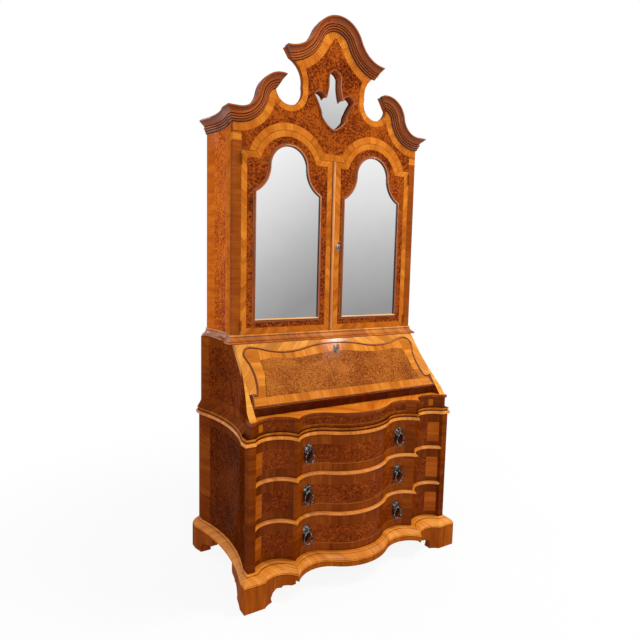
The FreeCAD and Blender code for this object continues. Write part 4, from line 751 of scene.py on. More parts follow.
recipe = Recipe("fall_burr_veneer")
figure, tone = burr(recipe, cabinet_place(recipe), FALL_BURR, fineness=1.7, contrast=1.6)
fall_field_finish = polished(recipe, figure, tone, coat=0.15)

recipe, place, (x, y, z) = on_cabinet("writing_board_veneer")
lipping, tone = short_grain(recipe, x, z, SIDE_BURR, length=0.12, seed=2.0)
board, _ = long_grain(recipe, x, y, PALE_WOOD)
in_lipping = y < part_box("writing_board")[0].y + NEAR
writing_finish = polished(recipe, blend(recipe, in_lipping, board, lipping), tone)
print("made", fall_finish.name + ",", fall_field_finish.name, "and", writing_finish.name)

# %% [markdown]
# Burr fills the pediment and the doors. On a door the same piece holds the bead round the mirror
# and the strip that covers the joint, which stand proud of the face, so a mask on Y finds them. The
# stiles beside the doors are patched from light and dark pieces, with a light block near the top.

# %% Pediment, doors and stiles
BOARD_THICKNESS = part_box("pediment_board")[1].y - front_y
recipe, place, (x, y, z) = on_cabinet("pediment_veneer")
colour, tone = burr(recipe, place, WARM_BURR)
edge, _ = long_grain(recipe, z, y, RED_MOULD)
back, _ = long_grain(recipe, z, x, BACK_WOOD)
colour = blend(recipe, y > front_y + NEAR, colour, edge)
colour = blend(recipe, y > front_y + BOARD_THICKNESS - NEAR, colour, back)
pediment_finish = polished(recipe, colour, tone)

BEAD_FOOT = 0.0024
BEAD_FOOT_SHADE = ink(0.05, 0.010, 0.0008)
recipe, place, (x, y, z) = on_cabinet("door_veneer")
colour, tone = burr(recipe, place, WARM_BURR)
bead, _ = long_grain(recipe, z, x, HONEY_MOULD)
at_bead = y < front_y - NEAR
# The foot of the bead and of the joint's strip, next to the face, is painted dark as shade.
colour = blend(recipe, at_bead, colour, blend(recipe, y < front_y - BEAD_FOOT, BEAD_FOOT_SHADE, bead))
door_finish = polished(recipe, colour, tone, coat=at_bead * 0.8 + 0.1)

STILE_BLOCK = (1.918, 1.952)
recipe, place, (x, y, z) = on_cabinet("stile_veneer")
colour, tone = short_grain(recipe, z, x, HONEY_BAND, length=0.17)
light, _ = short_grain(recipe, z, x, GOLD_BAND, length=0.11, seed=8.0)
dark, _ = short_grain(recipe, z, x, DARK_BAND, length=0.14, seed=3.0)
figure, _ = burr(recipe, place, WARM_BURR)
patch = noise(recipe, point(recipe, x * 9.0, 0.0, z * 8.0), 1.0)
for mask, over in ((patch, dark), (z > STILE_BLOCK[1], figure), (between(z, *STILE_BLOCK), light)):
    colour = blend(recipe, mask, colour, over)
stile_finish = polished(recipe, colour, tone)
print("made", pediment_finish.name + ",", door_finish.name, "and", stile_finish.name)

# %% [markdown]
# ## Mouldings cut from the solid, inner woods, glass and metal
#
# Plinth, waist, base and beads keep the joiner's shape. Their grain is read on the place: along X
# at the front and along Y at the sides look alike at this size, so one stretched noise serves both.

# %% Solid mouldings
DULL_COAT = 0.04
FAR_DOWN, FAR_UP = -1.0, 9.0
SHADE_LINE = (ink(0.020, 0.0035, 0.0003), ink(0.050, 0.009, 0.0006), ink(0.10, 0.022, 0.0016))


def solid_moulding(name, tones, coat, foot=0.0, levels=(), gloss=(FAR_DOWN, FAR_UP)):
    """Cross-cut veneer on a moulding, in levels: each is a height over the foot and the tones above it.

    The full coat lies between the two heights of gloss, and elsewhere the polish has gone dull."""
    recipe, place, (x, y, z) = on_cabinet(name)
    along = x + y * 0.8
    colour, tone = short_grain(recipe, along, z, tones, length=0.16)
    for rise, upper_tones in levels:
        upper, _ = short_grain(recipe, along, z, upper_tones, length=0.13, seed=foot + rise)
        colour = blend(recipe, z > foot + rise, colour, upper)
    low, high = gloss
    glossy = between(z, foot + low, foot + high)
    return polished(recipe, colour, tone, glossy * (coat - DULL_COAT) + DULL_COAT)

# %% [markdown]
# From its foot up, each moulding changes between light rounds, a painted highlight, and dark
# quirks, painted shade. The heights are the joiner's own, measured over the foot.

# %% Plinth, waist, base, beads and feet
foot_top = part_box("foot_front_right")[1].z
plinth_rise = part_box("plinth_moulding")[1].z - foot_top
plinth_levels = [(0.0, SHADE_LINE), (0.0015, GOLD_BEAD), (0.0072, RED_MOULD), (0.0088, GOLD_BEAD),
                 (plinth_rise - 0.0050, RED_MOULD), (plinth_rise - 0.0038, GOLD_BEAD)]
plinth_finish = solid_moulding("plinth_polish", HONEY_BAND, 0.4, foot_top, plinth_levels, (0.0088, FAR_UP))
waist_levels = [(0.0015, GOLD_BEAD), (0.0155, RED_MOULD), (0.0175, SHADE_LINE), (0.0205, HONEY_MOULD),
                (0.0325, SHADE_LINE), (0.0340, BROWN_BAND)]
waist_finish = solid_moulding("waist_polish", BROWN_BAND, 0.4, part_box("waist_moulding")[0].z, waist_levels,
                              (0.0, 0.0175))
base_levels = [(0.0020, HONEY_MOULD), (0.0088, RED_MOULD), (0.0125, HONEY_MOULD), (0.0290, SHADE_LINE),
               (0.0315, GOLD_BEAD)]
base_finish = solid_moulding("base_moulding_polish", SHADE_LINE, 0.8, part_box("upper_base_moulding")[0].z,
                             base_levels)
bead_finish = solid_moulding("bead_polish", GOLD_BEAD, 0.9)
rim_finish = solid_moulding("rim_polish", RED_MOULD, 1.0)
foot_finish = solid_moulding("foot_polish", FOOT_BAND, 0.05)
print("made the polish of six mouldings")

# %% [markdown]
# The bead on the fall is painted light where it faces up and to the right, a painted highlight,
# and painted dark as shade on the other side and at its foot. So its finish asks which way the
# surface faces.

# %% Bead of the fall
BEAD_SHADOW = 0.0012
PAINTED_SHADE = ink(0.045, 0.008, 0.0006)
PAINTED_LIGHT_WAY = (0.6, 0.8 * slope.up[1], 0.8 * slope.up[2])
recipe, place, (x, y, z) = on_cabinet("fall_bead_polish")
colour, tone = short_grain(recipe, x, z, RED_MOULD, length=0.16)
wear_and_highlight, _ = short_grain(recipe, x, z, GOLD_BEAD, length=0.16)
lit = facing(recipe, PAINTED_LIGHT_WAY)
in_painted_shade = either(lit < -0.30, from_slope(recipe, place, slope.out) < BEAD_SHADOW)
# Painted highlight on the side that faces the light, painted shade on the other side and at the foot.
colour = blend(recipe, lit > 0.25, colour, wear_and_highlight)
fall_bead_finish = polished(recipe, blend(recipe, in_painted_shade, colour, PAINTED_SHADE), tone, coat=0.8)
print("made", fall_bead_finish.name)

# %% [markdown]
# Shelves, drawer sides and the case of pigeonholes are plain oak, and the backs are upright boards
# with a dark gap where two of them meet.

# %% Inner woods
GAP_SHARE = 0.02
GAP = ink(0.02, 0.008, 0.003)


def inner_wood(name, tones, along, across, plank=0.0):
    """Plain oak inside and behind: long grain along one axis, with dark gaps where planks meet."""
    recipe, place, axes = on_cabinet(name)
    colour, tone = long_grain(recipe, axes[along], axes[across] * 0.4, tones)
    if plank:
        share = axes[across] / plank
        at_gap = share.math("FRACT", share) < GAP_SHARE
        colour = blend(recipe, at_gap * 0.8, colour, GAP)
    return polished(recipe, colour, tone, bump=0.2)


X, Y, Z = range(3)
shelf_finish = inner_wood("inner_oak", PALE_WOOD, X, Y)
fitting_finish = inner_wood("fitting_oak", PALE_WOOD, X, Z)
back_finish = inner_wood("back_boards", BACK_WOOD, Z, X, plank=0.156)
print("made", shelf_finish.name + ",", fitting_finish.name, "and", back_finish.name)

# %% [markdown]
# Old mirror glass is a metal seen through grey glass. The plates here are painted darker towards
# their foot and towards the right, a painted reflection, so the base colour is a ramp on the place.

# %% Mirror glass
DOOR_REFLECTION = [(0.0, grey(0.30)), (0.35, grey(0.48)), (0.7, grey(0.72)), (1.0, grey(0.88))]
CARTOUCHE_REFLECTION = [(0.0, grey(0.47)), (1.0, grey(0.76))]
LEFT_RISE = 0.19


def mirror_glass(name, foot, head, stops, lean):
    """Painted reflection: grey of the glass by rise - x * lean, where the rise goes from 0 at its foot to 1
    at its head.
    """
    recipe, place, (x, y, z) = on_cabinet(name)
    rise = (z - foot) / (head - foot)
    haze = noise(recipe, place, 9.0)
    colour = ramp(recipe, rise - x * lean + haze * 0.05, stops)
    return recipe.surface(Base_Color=colour, Metallic=1.0, Roughness=haze * 0.03 + 0.03)


low_corner, high_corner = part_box("door_right_mirror")
mirror_finish = mirror_glass("mirror_glass", low_corner.z, high_corner.z, DOOR_REFLECTION, lean=0.24)
left_mirror_finish = mirror_glass("left_mirror_glass", low_corner.z + LEFT_RISE,
                                  high_corner.z + LEFT_RISE, DOOR_REFLECTION, lean=0.85)
low_corner, high_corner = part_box("cartouche_mirror")
cartouche_finish = mirror_glass("cartouche_glass", low_corner.z, high_corner.z, CARTOUCHE_REFLECTION, lean=0.28)
print("made", mirror_finish.name + ",", left_mirror_finish.name, "and", cartouche_finish.name)

# %% [markdown]
# The fittings are cast in pewter and brass. Handling polishes the high parts and leaves the hollows
# dark. At this size the hollows are too small to model, so a cloudy noise stands for them.


# %% Pewter and brass
def cast_metal(name, dark, light, rough):
    """Old cast metal: dark in its hollows, rubbed bright where hands reach, with a grain of its own."""
    recipe, place, _ = on_cabinet(name)
    cloud = noise(recipe, place, 120.0, 4.0, 0.6)
    pits = noise(recipe, place, 900.0)
    relief = recipe.node("Bump", None, {"Strength": 0.3, "Distance": 0.0004, "Height": pits})
    colour = ramp(recipe, cloud, [(0.44, dark), (0.66, light)])
    return recipe.surface(Base_Color=colour, Metallic=0.9, Roughness=cloud * 0.25 + rough, Normal=relief)


pewter = cast_metal("dark_pewter", ink(0.010, 0.0095, 0.0095), ink(0.34, 0.33, 0.32), rough=0.14)
bright_pewter = cast_metal("worn_pewter", ink(0.014, 0.013, 0.013), ink(0.46, 0.44, 0.42), rough=0.18)
brass = cast_metal("aged_brass", ink(0.020, 0.010, 0.004), ink(0.11, 0.06, 0.024), rough=0.34)
print("made", pewter.name + ",", bright_pewter.name, "and", brass.name)

# %% [markdown]
# The door hinges are iron barrels stained like the wood they lie in, and only their ball ends
# shine, so a mask on the height finds the balls.

# %% Iron hinges
HINGE_BALL = 0.0095
low_corner, high_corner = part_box("door_right_hinges")
recipe, place, (x, y, z) = on_cabinet("hinge_iron")
at_ball = either(z < low_corner.z + HINGE_BALL, z > high_corner.z - HINGE_BALL)
rust = noise(recipe, place, 300.0, 3.0)
wear_and_highlight = ramp(recipe, rust, [(0.35, ink(0.10, 0.07, 0.045)), (0.65, ink(0.30, 0.24, 0.18))])
stained = ramp(recipe, rust, [(0.35, ink(0.16, 0.032, 0.002)), (0.65, ink(0.34, 0.080, 0.006))])
hinge_finish = recipe.surface(Base_Color=blend(recipe, at_ball, stained, wear_and_highlight), Metallic=at_ball * 0.9,
                              Roughness=0.62 - at_ball * 0.38 + rust * 0.1, Specular_IOR_Level=0.0)
print("finishes ready:", len(bpy.data.materials))

# %% [markdown]
# ## Finishes on to the joiner's pieces
#
# Each of the joiner's pieces has one material slot, named after its wood or metal. A piece with a
# finish of its own is found by its name, and the others take the finish of their slot.

# %% Hand out the finishes
own_finish = {
    "chest_side_right": chest_side_finish, "chest_side_left": chest_side_finish,
    "bureau_side_right": bureau_side_finish, "bureau_side_left": bureau_side_finish,
    "upper_side_right": upper_side_finish, "upper_side_left": upper_side_finish,
    "bottom_drawer": drawer_finishes["bottom"], "middle_drawer": drawer_finishes["middle"],
    "top_drawer": drawer_finishes["top"], "frieze_rail": frieze_finish,
    "plinth_moulding": plinth_finish, "waist_moulding": waist_finish, "upper_base_moulding": base_finish,
    "foot_front_right": foot_finish, "foot_front_left": foot_finish, "feet_back": foot_finish,
    "drawer_rails": bead_finish, "ledge_board": ledge_finish, "slant_frame": slant_finish,
    "fall_board": fall_finish, "fall_bead": fall_bead_finish, "cartouche_rim": rim_finish,
    "pediment_board": pediment_finish, "face_stiles": stile_finish,
    "door_right": door_finish, "door_left": door_finish,
    "door_right_mirror": mirror_finish, "door_left_mirror": left_mirror_finish,
    "cartouche_mirror": cartouche_finish,
    "lower_back": back_finish, "upper_back": back_finish,
    "writing_board": writing_finish, "pigeonhole_case": fitting_finish,
    "inner_drawer_right": fitting_finish, "inner_drawer_left": fitting_finish,
    "door_right_hinges": hinge_finish, "door_left_hinges": hinge_finish,
    "fall_key": pewter, "fall_escutcheon": pewter, "door_escutcheon": pewter,
}
slot_finish = {
    "walnut_veneer": chest_side_finish, "walnut_moulding": plinth_finish,
    "inner_wood": shelf_finish, "mirror_plate": mirror_finish,
    "aged_brass": brass, "dark_pewter": pewter,
}
for name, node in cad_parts.items():
    slot_name = node.material_slots[0].material.name.split(".")[0]
    spare_finish = slot_finish.get(slot_name, shelf_finish)
    node.material_slots[0].material = own_finish.get(name, spare_finish)
print("dressed", len(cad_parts), "of the joiner's pieces")

# %% [markdown]
# ## The pediment's mouldings
#
# Crest and necks are one moulding: a fillet at the outer edge, a wide hollow, and three reeds. It
# is drawn as a section of (share of the width, share of the reach) and carried along arcs. The ends
# are trimmed by planes, as a saw in a mitre box does.

# %% Section of the moulding
MOULDING_WIDTH = 0.060
MOULDING_REACH = front_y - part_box("crest_moulding")[0].y
REED_START, REED_END, REEDS = 0.50, 0.97, 3
REED_WIDTH = (REED_END - REED_START) / REEDS
REED_LEVEL, REED_FALL, REED_ROUND = 0.36, 0.11, 0.075


def moulding_section():
    """Points (in from the edge, out of the face), as shares: fillet, hollow and round reeds.

    Hollow = 0.86 - 0.44 * sin(turn) ** 1.4, and each reed is a half circle lower than the one before."""
    turn = np.linspace(0, 1, 9)
    hollow = np.stack([0.15 + 0.31 * turn, 0.86 - 0.44 * np.sin(turn * math.pi / 2) ** 1.4], axis=1)
    round_turn = np.linspace(0, math.pi, 7)
    reeds = [np.stack([REED_START + REED_WIDTH * (number + 0.5 - 0.44 * np.cos(round_turn)),
                       REED_LEVEL - REED_FALL * number + REED_ROUND * np.sin(round_turn)], axis=1)
             for number in range(REEDS)]
    fillet = [(0, 0), (0, 0.97), (0.012, 1), (0.115, 1), (0.125, 0.9)]
    shares = np.concatenate([fillet, hollow, [(0.475, 0.3)], *reeds, [(1, 0.08), (1, 0)]])
    return shares * (MOULDING_WIDTH, MOULDING_REACH)


section = moulding_section()
print("moulding section of", len(section), "points")

# %% [markdown]
# The grooves, the steps, the outer side and the top of the hollow are painted dark as shade, and the
# reeds' crowns stay light. The map of a swept piece holds the length round its section, so the shade
# of each part of the section is a list of lengths and greys.

# %% Finish of the moulding
OUTER_SIDE, FILLET, STEP = 0.75, 1.0, 0.12
HOLLOW_TOP, HOLLOW_FOOT = 0.45, 1.0
REED_CROWN, REED_VALLEY = 0.95, 0.10
section_way = Skin.running_length(section, True)


def way_to(share):
    """The length round the section to its first point that lies this share of the width in."""
    first = np.argmax(section[:, 0] >= share * MOULDING_WIDTH - WELD)
    return section_way[first]


shades = [(0.0, OUTER_SIDE), (way_to(0.012) - 0.002, OUTER_SIDE)]
for share, shade in ((0.012, FILLET), (0.115, FILLET), (0.125, STEP), (0.15, HOLLOW_TOP),
                     (0.30, HOLLOW_FOOT), (0.44, HOLLOW_FOOT), (0.475, STEP)):
    shades.append((way_to(share), shade))
for number in range(REEDS):
    for share, shade in ((0.25, REED_CROWN), (0.55, REED_CROWN), (0.93, REED_VALLEY)):
        shades.append((way_to(REED_START + REED_WIDTH * (number + share)), shade))
shades.append((section_way[-1], REED_VALLEY))
crest_finish = moulded("crest_moulding_polish", RED_MOULD, shades, coat=0.5)
print("made", crest_finish.name, "with", len(shades), "shades")

# %% [markdown]
# The neck runs in level from the corner, then up through a hollow and over a crown; the crest runs
# from its left tip over the head to its right tip. Two arcs that touch meet on the line between
# their centres, so each joint's angle is the heading from one centre to the other.

# %% Lines of necks and crest
NECK_DIP, NECK_DIP_RADIUS = (0.488, 2.144), 0.094
NECK_CROWN, NECK_CROWN_RADIUS = (0.285, 2.1078), 0.1122
CREST_HEAD, CREST_HEAD_RADIUS = (0.0, 2.383), 0.1339
CREST_DIP, CREST_DIP_RADIUS = (0.262, 2.49325), 0.15025
CREST_TIP, CREST_CUT = (0.262, 2.343), (0.234, 2.3018)
NECK_TIP, NECK_CUT = (0.263, 2.2178), (0.300, 2.1578)
CASE_HALF = 0.501
NECK_TAIL_END = 0.56


def heading(start, end):
    """The direction from one point to another, in degrees."""
    return math.degrees(math.atan2(end[1] - start[1], end[0] - start[0]))


neck_join = heading(NECK_DIP, NECK_CROWN) % 360
neck_tail = (NECK_TAIL_END, NECK_DIP[1] - NECK_DIP_RADIUS)
neck_line = run(neck_tail, arc(NECK_DIP, NECK_DIP_RADIUS, 270, neck_join, 40),
                arc(NECK_CROWN, NECK_CROWN_RADIUS, neck_join - 180, 128, 40))
crest_join = heading(CREST_DIP, CREST_HEAD) % 360
crest_right = run(arc(CREST_DIP, CREST_DIP_RADIUS, 282, crest_join, 34),
                  arc(CREST_HEAD, CREST_HEAD_RADIUS, crest_join - 180, 90, 34))
crest_line = run(crest_right, flipped(crest_right))
print("neck of", len(neck_line), "points, crest of", len(crest_line))

# %% [markdown]
# The ends of crest and necks are sawn off on a slant. A cut is a plane through two points of the
# drawing, and a third point says which side stays. The left side is the right one's mirror image.


# %% Cuts and reeded pieces
def saw(start, end, keep):
    """A plane square to the front through two points, with its normal away from the point kept."""
    way = np.array([end[0] - start[0], 0, end[1] - start[1]])
    normal = np.cross(way, (0, 1, 0))
    inside = np.array([keep[0] - start[0], 0, keep[1] - start[1]])
    if normal @ inside > 0:
        normal = -normal
    return (start[0], 0, start[1]), tuple(normal / np.linalg.norm(normal))


def mirror_cut(cut):
    """The mirror image of a plane about the middle of the cabinet."""
    (x, y, z), (a, b, c) = cut
    return (-x, y, z), (-a, b, c)


def reeded(name, face, line, section, cuts, replaced):
    """The reeded moulding along a line of a face, trimmed by planes."""
    skin = swept(face, line, section, False, cuts)
    return piece(name, [skin], crest_finish, "case", [replaced])


crest_end = saw(CREST_TIP, CREST_CUT, CREST_HEAD)
reeded("crest_reeded", upper_front, crest_line, section, [crest_end, mirror_cut(crest_end)], "crest_moulding")
mitre = ((CASE_HALF, front_y, 0), tuple(np.array((1, 1, 0)) / math.sqrt(2)))
neck_cuts = [mitre, saw(NECK_TIP, NECK_CUT, NECK_DIP)]
reeded("neck_reeded_right", upper_front, neck_line, section, neck_cuts, "neck_mouldings")
reeded("neck_reeded_left", upper_front, flipped(neck_line), section, [mirror_cut(cut) for cut in neck_cuts],
       "neck_mouldings")

# %% [markdown]
# The side cornices carry the same section along the hollow sides, drawn on a level face, and are
# mitred to the necks. On a level face the section's parts change places: in is down, out is out.

# %% Side cornices
cornice_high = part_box("side_cornices")[1]
SIDE_FLAT, SIDE_HOLLOW = 0.028, 0.020
case_depth = cabinet_box[1].y - front_y
hollow_half = case_depth / 2 - SIDE_FLAT
hollow_radius = (hollow_half ** 2 + SIDE_HOLLOW ** 2) / (2 * SIDE_HOLLOW)
hollow_turn = math.degrees(math.asin(hollow_half / hollow_radius))
side_middle = (front_y + cabinet_box[1].y) / 2
hollow_centre = (CASE_HALF - SIDE_HOLLOW + hollow_radius, side_middle)
side_line = run((CASE_HALF, front_y - 0.05), (CASE_HALF, front_y + SIDE_FLAT),
                arc(hollow_centre, hollow_radius, 180 + hollow_turn, 180 - hollow_turn, 17),
                (CASE_HALF, cabinet_box[1].y - SIDE_FLAT), (CASE_HALF, cabinet_box[1].y))
level_face = Face((0, 0, cornice_high.z), (1, 0, 0), (0, 1, 0))
cornice_section = np.stack([-section[:, 1], -section[:, 0]], axis=1)
side_mitre = (mitre[0], tuple(-np.array(mitre[1])))
reeded("side_cornice_right", level_face, side_line, cornice_section, [side_mitre], "side_cornices")
reeded("side_cornice_left", level_face, flipped(side_line), cornice_section, [mirror_cut(side_mitre)],
       "side_cornices")

# %% [markdown]
# ## Veneer strips
#
# The gold strips follow the mouldings, the pierced voids, the door arches and the doors' edges.
# Painting them as masks would need a distance to every arc; a strip laid along the same lines
# turns its own grain and mitres its own corners.

# %% Strips of the pediment
BAND_WIDE = 0.038
VOID_BAND = 0.027
HIDDEN = 0.004
VOID_UPPER, VOID_UPPER_RADIUS = (0.272, 2.205), 0.104
VOID_LOWER, VOID_LOWER_RADIUS = (0.235, 2.168), 0.068
PEAK_WIDTHS = [(90.0, 0.086), (55.0, 0.103), (23.0, 0.100), (0.0, 0.098)]
inner_edge = MOULDING_WIDTH - HIDDEN
neck_strip = run(neck_tail, arc(NECK_DIP, NECK_DIP_RADIUS, 270, neck_join, 30),
                 arc(NECK_CROWN, NECK_CROWN_RADIUS, neck_join - 180, 70, 30))
void_meet_upper, void_meet_lower = 190.1, 164.0
void_strip = run(arc(VOID_UPPER, VOID_UPPER_RADIUS, 100, void_meet_upper, 26),
                 arc(VOID_LOWER, VOID_LOWER_RADIUS, void_meet_lower, 370, 40))
crest_strip = run(arc(CREST_DIP, CREST_DIP_RADIUS, 265, crest_join, 30),
                  arc(CREST_HEAD, CREST_HEAD_RADIUS, crest_join - 180, 90, 30))
turn = np.degrees(np.arctan2(crest_strip[:, 1] - CREST_HEAD[1], crest_strip[:, 0] - CREST_HEAD[0]))
peak_turns, peak_widths = [list(column)[::-1] for column in zip(*PEAK_WIDTHS)]
peak = np.interp(turn, peak_turns, peak_widths)
print("strips of", len(neck_strip), len(void_strip), "and", len(crest_strip), "points")

# %% [markdown]
# Where two strips meet, each is cut on the line between their inner and outer corner. The crest's
# strip is laid from both sides and meets in the middle.

# %% Mitres of the pediment's strips
CREST_CORNER, NECK_CORNER = (0.1573, 2.2682), (0.301, 2.100)
below_crest, above_void = (0.2, 2.1), (0.0, 2.383)
crest_cut = saw(CREST_CORNER, CREST_CUT, above_void)
void_cuts = [saw(CREST_CORNER, CREST_CUT, below_crest), saw(NECK_CUT, NECK_CORNER, (0.2, 2.1))]
under_neck_cuts = [saw(NECK_CUT, NECK_CORNER, (0.4, 2.1)), ((CASE_HALF, 0, 0), (1, 0, 0))]
past_middle = ((0, 0, 0), (-1, 0, 0))

pediment_strips = []
for side in (1, -1):
    lines = [(neck_strip, inner_edge, inner_edge + BAND_WIDE, under_neck_cuts),
             (void_strip, 0.0, -VOID_BAND, void_cuts),
             (crest_strip, inner_edge, peak, [crest_cut, past_middle])]
    for line, left, right, cuts in lines:
        cuts = cuts if side > 0 else [mirror_cut(cut) for cut in cuts]
        pediment_strips.append(strip(upper_front, line * (side, 1), side * left, side * right, False, cuts))
piece("pediment_crossbands", pediment_strips, gold_banding, "case")

# %% [markdown]
# The strip over the two doors is one long band: up over the left arch, level between the doors and
# up over the right arch.

# %% Strip over the doors
ARCH, ARCH_RADIUS = (0.23115, 1.818), 0.172
EAR, DOOR_FOOT, DOOR_IN, DOOR_OUT = 1.881, 1.0879, 0.0009, 0.4614
ARCH_GAP, FRAME_BAND, DOOR_BAND = 0.0016, 0.030, 0.027


def arch_over(radius, ear):
    """The arch from its right foot to its left foot at the height of the ears."""
    foot_turn = math.degrees(math.asin((ear - ARCH[1]) / radius))
    return arc(ARCH, radius, foot_turn, 180 - foot_turn, 48)


ear_line = EAR + ARCH_GAP
over_radius = ARCH_RADIUS + ARCH_GAP
over_foot = ARCH[0] - math.sqrt(over_radius ** 2 - (ear_line - ARCH[1]) ** 2)
band_foot = ARCH[0] - math.sqrt((over_radius + FRAME_BAND) ** 2 - (ear_line + FRAME_BAND - ARCH[1]) ** 2)
arch_mitre = [(over_foot, ear_line), (band_foot, ear_line + FRAME_BAND)]
arch_cuts = [saw(*arch_mitre, ARCH), ((0, 0, ear_line), (0, 0, -1))]
level_cut = saw(*arch_mitre, (0.0, ear_line))
over_arch = arc(ARCH, over_radius, 12, 168, 56)
level_line = np.array([(0.09, ear_line), (0.0, ear_line), (-0.09, ear_line)])
left_arch_cuts = [mirror_cut(cut) for cut in arch_cuts]
over_strips = [strip(upper_front, over_arch, 0.0, -FRAME_BAND, False, arch_cuts),
               strip(upper_front, over_arch * (-1, 1), 0.0, FRAME_BAND, False, left_arch_cuts),
               strip(upper_front, level_line, 0.0, -FRAME_BAND, False, [level_cut, mirror_cut(level_cut)])]
piece("arch_crossband", over_strips, gold_banding, "case")

# %% [markdown]
# A door's own strip is a ring round its edge. On the right door it stops short of the strip that
# covers the joint.


# %% Strips on the doors
def door_ring(inner):
    """The edge of the right door as a ring, from the foot of its outer edge."""
    return run((DOOR_OUT, DOOR_FOOT), (DOOR_OUT, EAR), arch_over(ARCH_RADIUS, EAR), (inner, EAR),
               (inner, DOOR_FOOT))


COVER_STRIP = 0.0195
door_edges = {"right": door_ring(COVER_STRIP), "left": flipped(door_ring(DOOR_IN))}
for side, edge in door_edges.items():
    piece("door_" + side + "_crossband", [strip(upper_front, edge, 0.0, DOOR_BAND, True)], gold_banding,
          side + "_door")

# %% [markdown]
# A rounded strip on the right door covers the joint between the two doors. It is a half-round
# between two narrow fillets, planed from one length of walnut, so its section is a half circle.

# %% Strip over the joint of the doors
COVER_HALF, COVER_FILLET, COVER_RISE, COVER_SEAT = 0.0094, 0.0024, 0.0062, 0.0014
QUIRK_SHADE, SHOULDER_SHADE, CROWN_SHADE = 0.15, 0.9, 1.0
cover_turn = np.linspace(0, math.pi, 15)
cover_round = np.stack([-(COVER_HALF - COVER_FILLET) * np.cos(cover_turn),
                        COVER_SEAT + COVER_RISE * np.sin(cover_turn)], axis=1)
cover_section = np.concatenate([[(-COVER_HALF, -VENEER_SINK), (-COVER_HALF, COVER_SEAT)], cover_round,
                                [(COVER_HALF, COVER_SEAT), (COVER_HALF, -VENEER_SINK)]])
cover_middle = DOOR_IN + COVER_HALF + 0.0001
cover_line = np.array([(cover_middle, DOOR_FOOT), (cover_middle, EAR)])
cover_way = Skin.running_length(cover_section, True)
# The quirks beside the round are painted dark as shade, and the crown is kept light.
cover_shades = [(0.0, QUIRK_SHADE), (cover_way[2], QUIRK_SHADE), (cover_way[4], SHOULDER_SHADE),
                (cover_way[9], CROWN_SHADE), (cover_way[14], SHOULDER_SHADE), (cover_way[16], QUIRK_SHADE),
                (cover_way[-1], QUIRK_SHADE)]
cover_finish = moulded("cover_strip_polish", GOLD_BEAD, cover_shades, coat=1.0)
piece("door_cover_strip", [swept(upper_front, cover_line, cover_section)], cover_finish, "right_door")

# %% [markdown]
# The bead round a mirror has a quirk outside it, where a plane cut beside the round, and the quirk is
# painted dark as shade. Its line is the mirror's own: a square foot, a shoulder on an arc that bends
# the other way, a round head.

# %% Beads round the mirrors
MIRROR_HALF, MIRROR_SILL, HEAD_HEIGHT = 0.160, 1.154, 1.832
HEAD_RADIUS, SHOULDER_RADIUS = 0.088, 0.136
DOOR_MIDDLE = ARCH[0]
shoulder_centre = HEAD_RADIUS + SHOULDER_RADIUS
shoulder_turn = math.degrees(math.acos((shoulder_centre - MIRROR_HALF) / SHOULDER_RADIUS))
right_half = run((MIRROR_HALF, MIRROR_SILL),
                 arc((shoulder_centre, HEAD_HEIGHT), SHOULDER_RADIUS, 180 + shoulder_turn, 180, 20),
                 arc((0, HEAD_HEIGHT), HEAD_RADIUS, 0, 90, 24))
sight_line = run(right_half, flipped(right_half)) + (DOOR_MIDDLE, 0)
BEAD_HALF, BEAD_RISE, BEAD_INSIDE, BEAD_SEAT = 0.0050, 0.0072, 0.0006, 0.0006
QUIRK_AND_LIP = [(-0.0124, BEAD_SEAT), (-0.0126, 0.0018), (-0.0152, 0.0018), (-0.0152, -VENEER_SINK)]
bead_turn = np.linspace(0, math.pi, 13)
bead_round = np.stack([BEAD_INSIDE - BEAD_HALF * (1 - np.cos(bead_turn)),
                       BEAD_SEAT + BEAD_RISE * np.sin(bead_turn)], axis=1)
bead_section = np.concatenate([[(BEAD_INSIDE, -VENEER_SINK)], bead_round, QUIRK_AND_LIP])
sight_lines = {"right": sight_line, "left": flipped(sight_line)}
print("line round a mirror of", len(sight_line), "points")

# %% [markdown]
# The round is painted light where it faces right and up, and most of all along the sill, as a painted
# highlight. Where it faces away it is painted dark as shade, and so is the quirk. So the finish asks
# which way the surface faces, and the map tells the round from the quirk.

# %% Polish of the beads
BEAD_LIGHT_WAY = (0.75, 0.0, 0.65)
SILL_LIGHT, HIGHLIGHT_ABOVE, SHADE_BELOW = 0.4, 0.35, -0.45
BEAD_HIGHLIGHT = (ink(0.50, 0.20, 0.05), ink(0.84, 0.44, 0.15), ink(0.98, 0.72, 0.38))
bead_way = Skin.running_length(bead_section, True)
round_end, quirk_end = bead_way[len(bead_round)], bead_way[len(bead_round) + 1]
recipe = Recipe("mirror_bead_polish")
along, across = strip_map(recipe)
colour, tone = long_grain(recipe, along, across, RED_MOULD)
wear_and_highlight, _ = long_grain(recipe, along, across, BEAD_HIGHLIGHT)
lit = facing(recipe, BEAD_LIGHT_WAY)
at_sill = split(recipe, cabinet_place(recipe))[2] < MIRROR_SILL + BEAD_INSIDE
on_round = across < round_end
# Painted highlight where the round faces the light and along the sill; painted shade where it faces away and
# in the quirk.
colour = blend(recipe, both(lit + at_sill * SILL_LIGHT > HIGHLIGHT_ABOVE, on_round), colour, wear_and_highlight)
in_painted_shade = either(both(lit < SHADE_BELOW, on_round), between(across, round_end, quirk_end))
sight_finish = polished(recipe, blend(recipe, in_painted_shade, colour, PAINTED_SHADE), tone, coat=1.0)
for side, line in sight_lines.items():
    piece("door_" + side + "_bead", [swept(upper_front, line, bead_section, True)], sight_finish,
          side + "_door")

# %% [markdown]
# ## The fall's burr field
#
# The middle of the fall is one sheet of burr with a straight foot, hollow sides and a waved head. It
# is a grid of two parameters: across from side to side, and down from the head's curve to the foot.

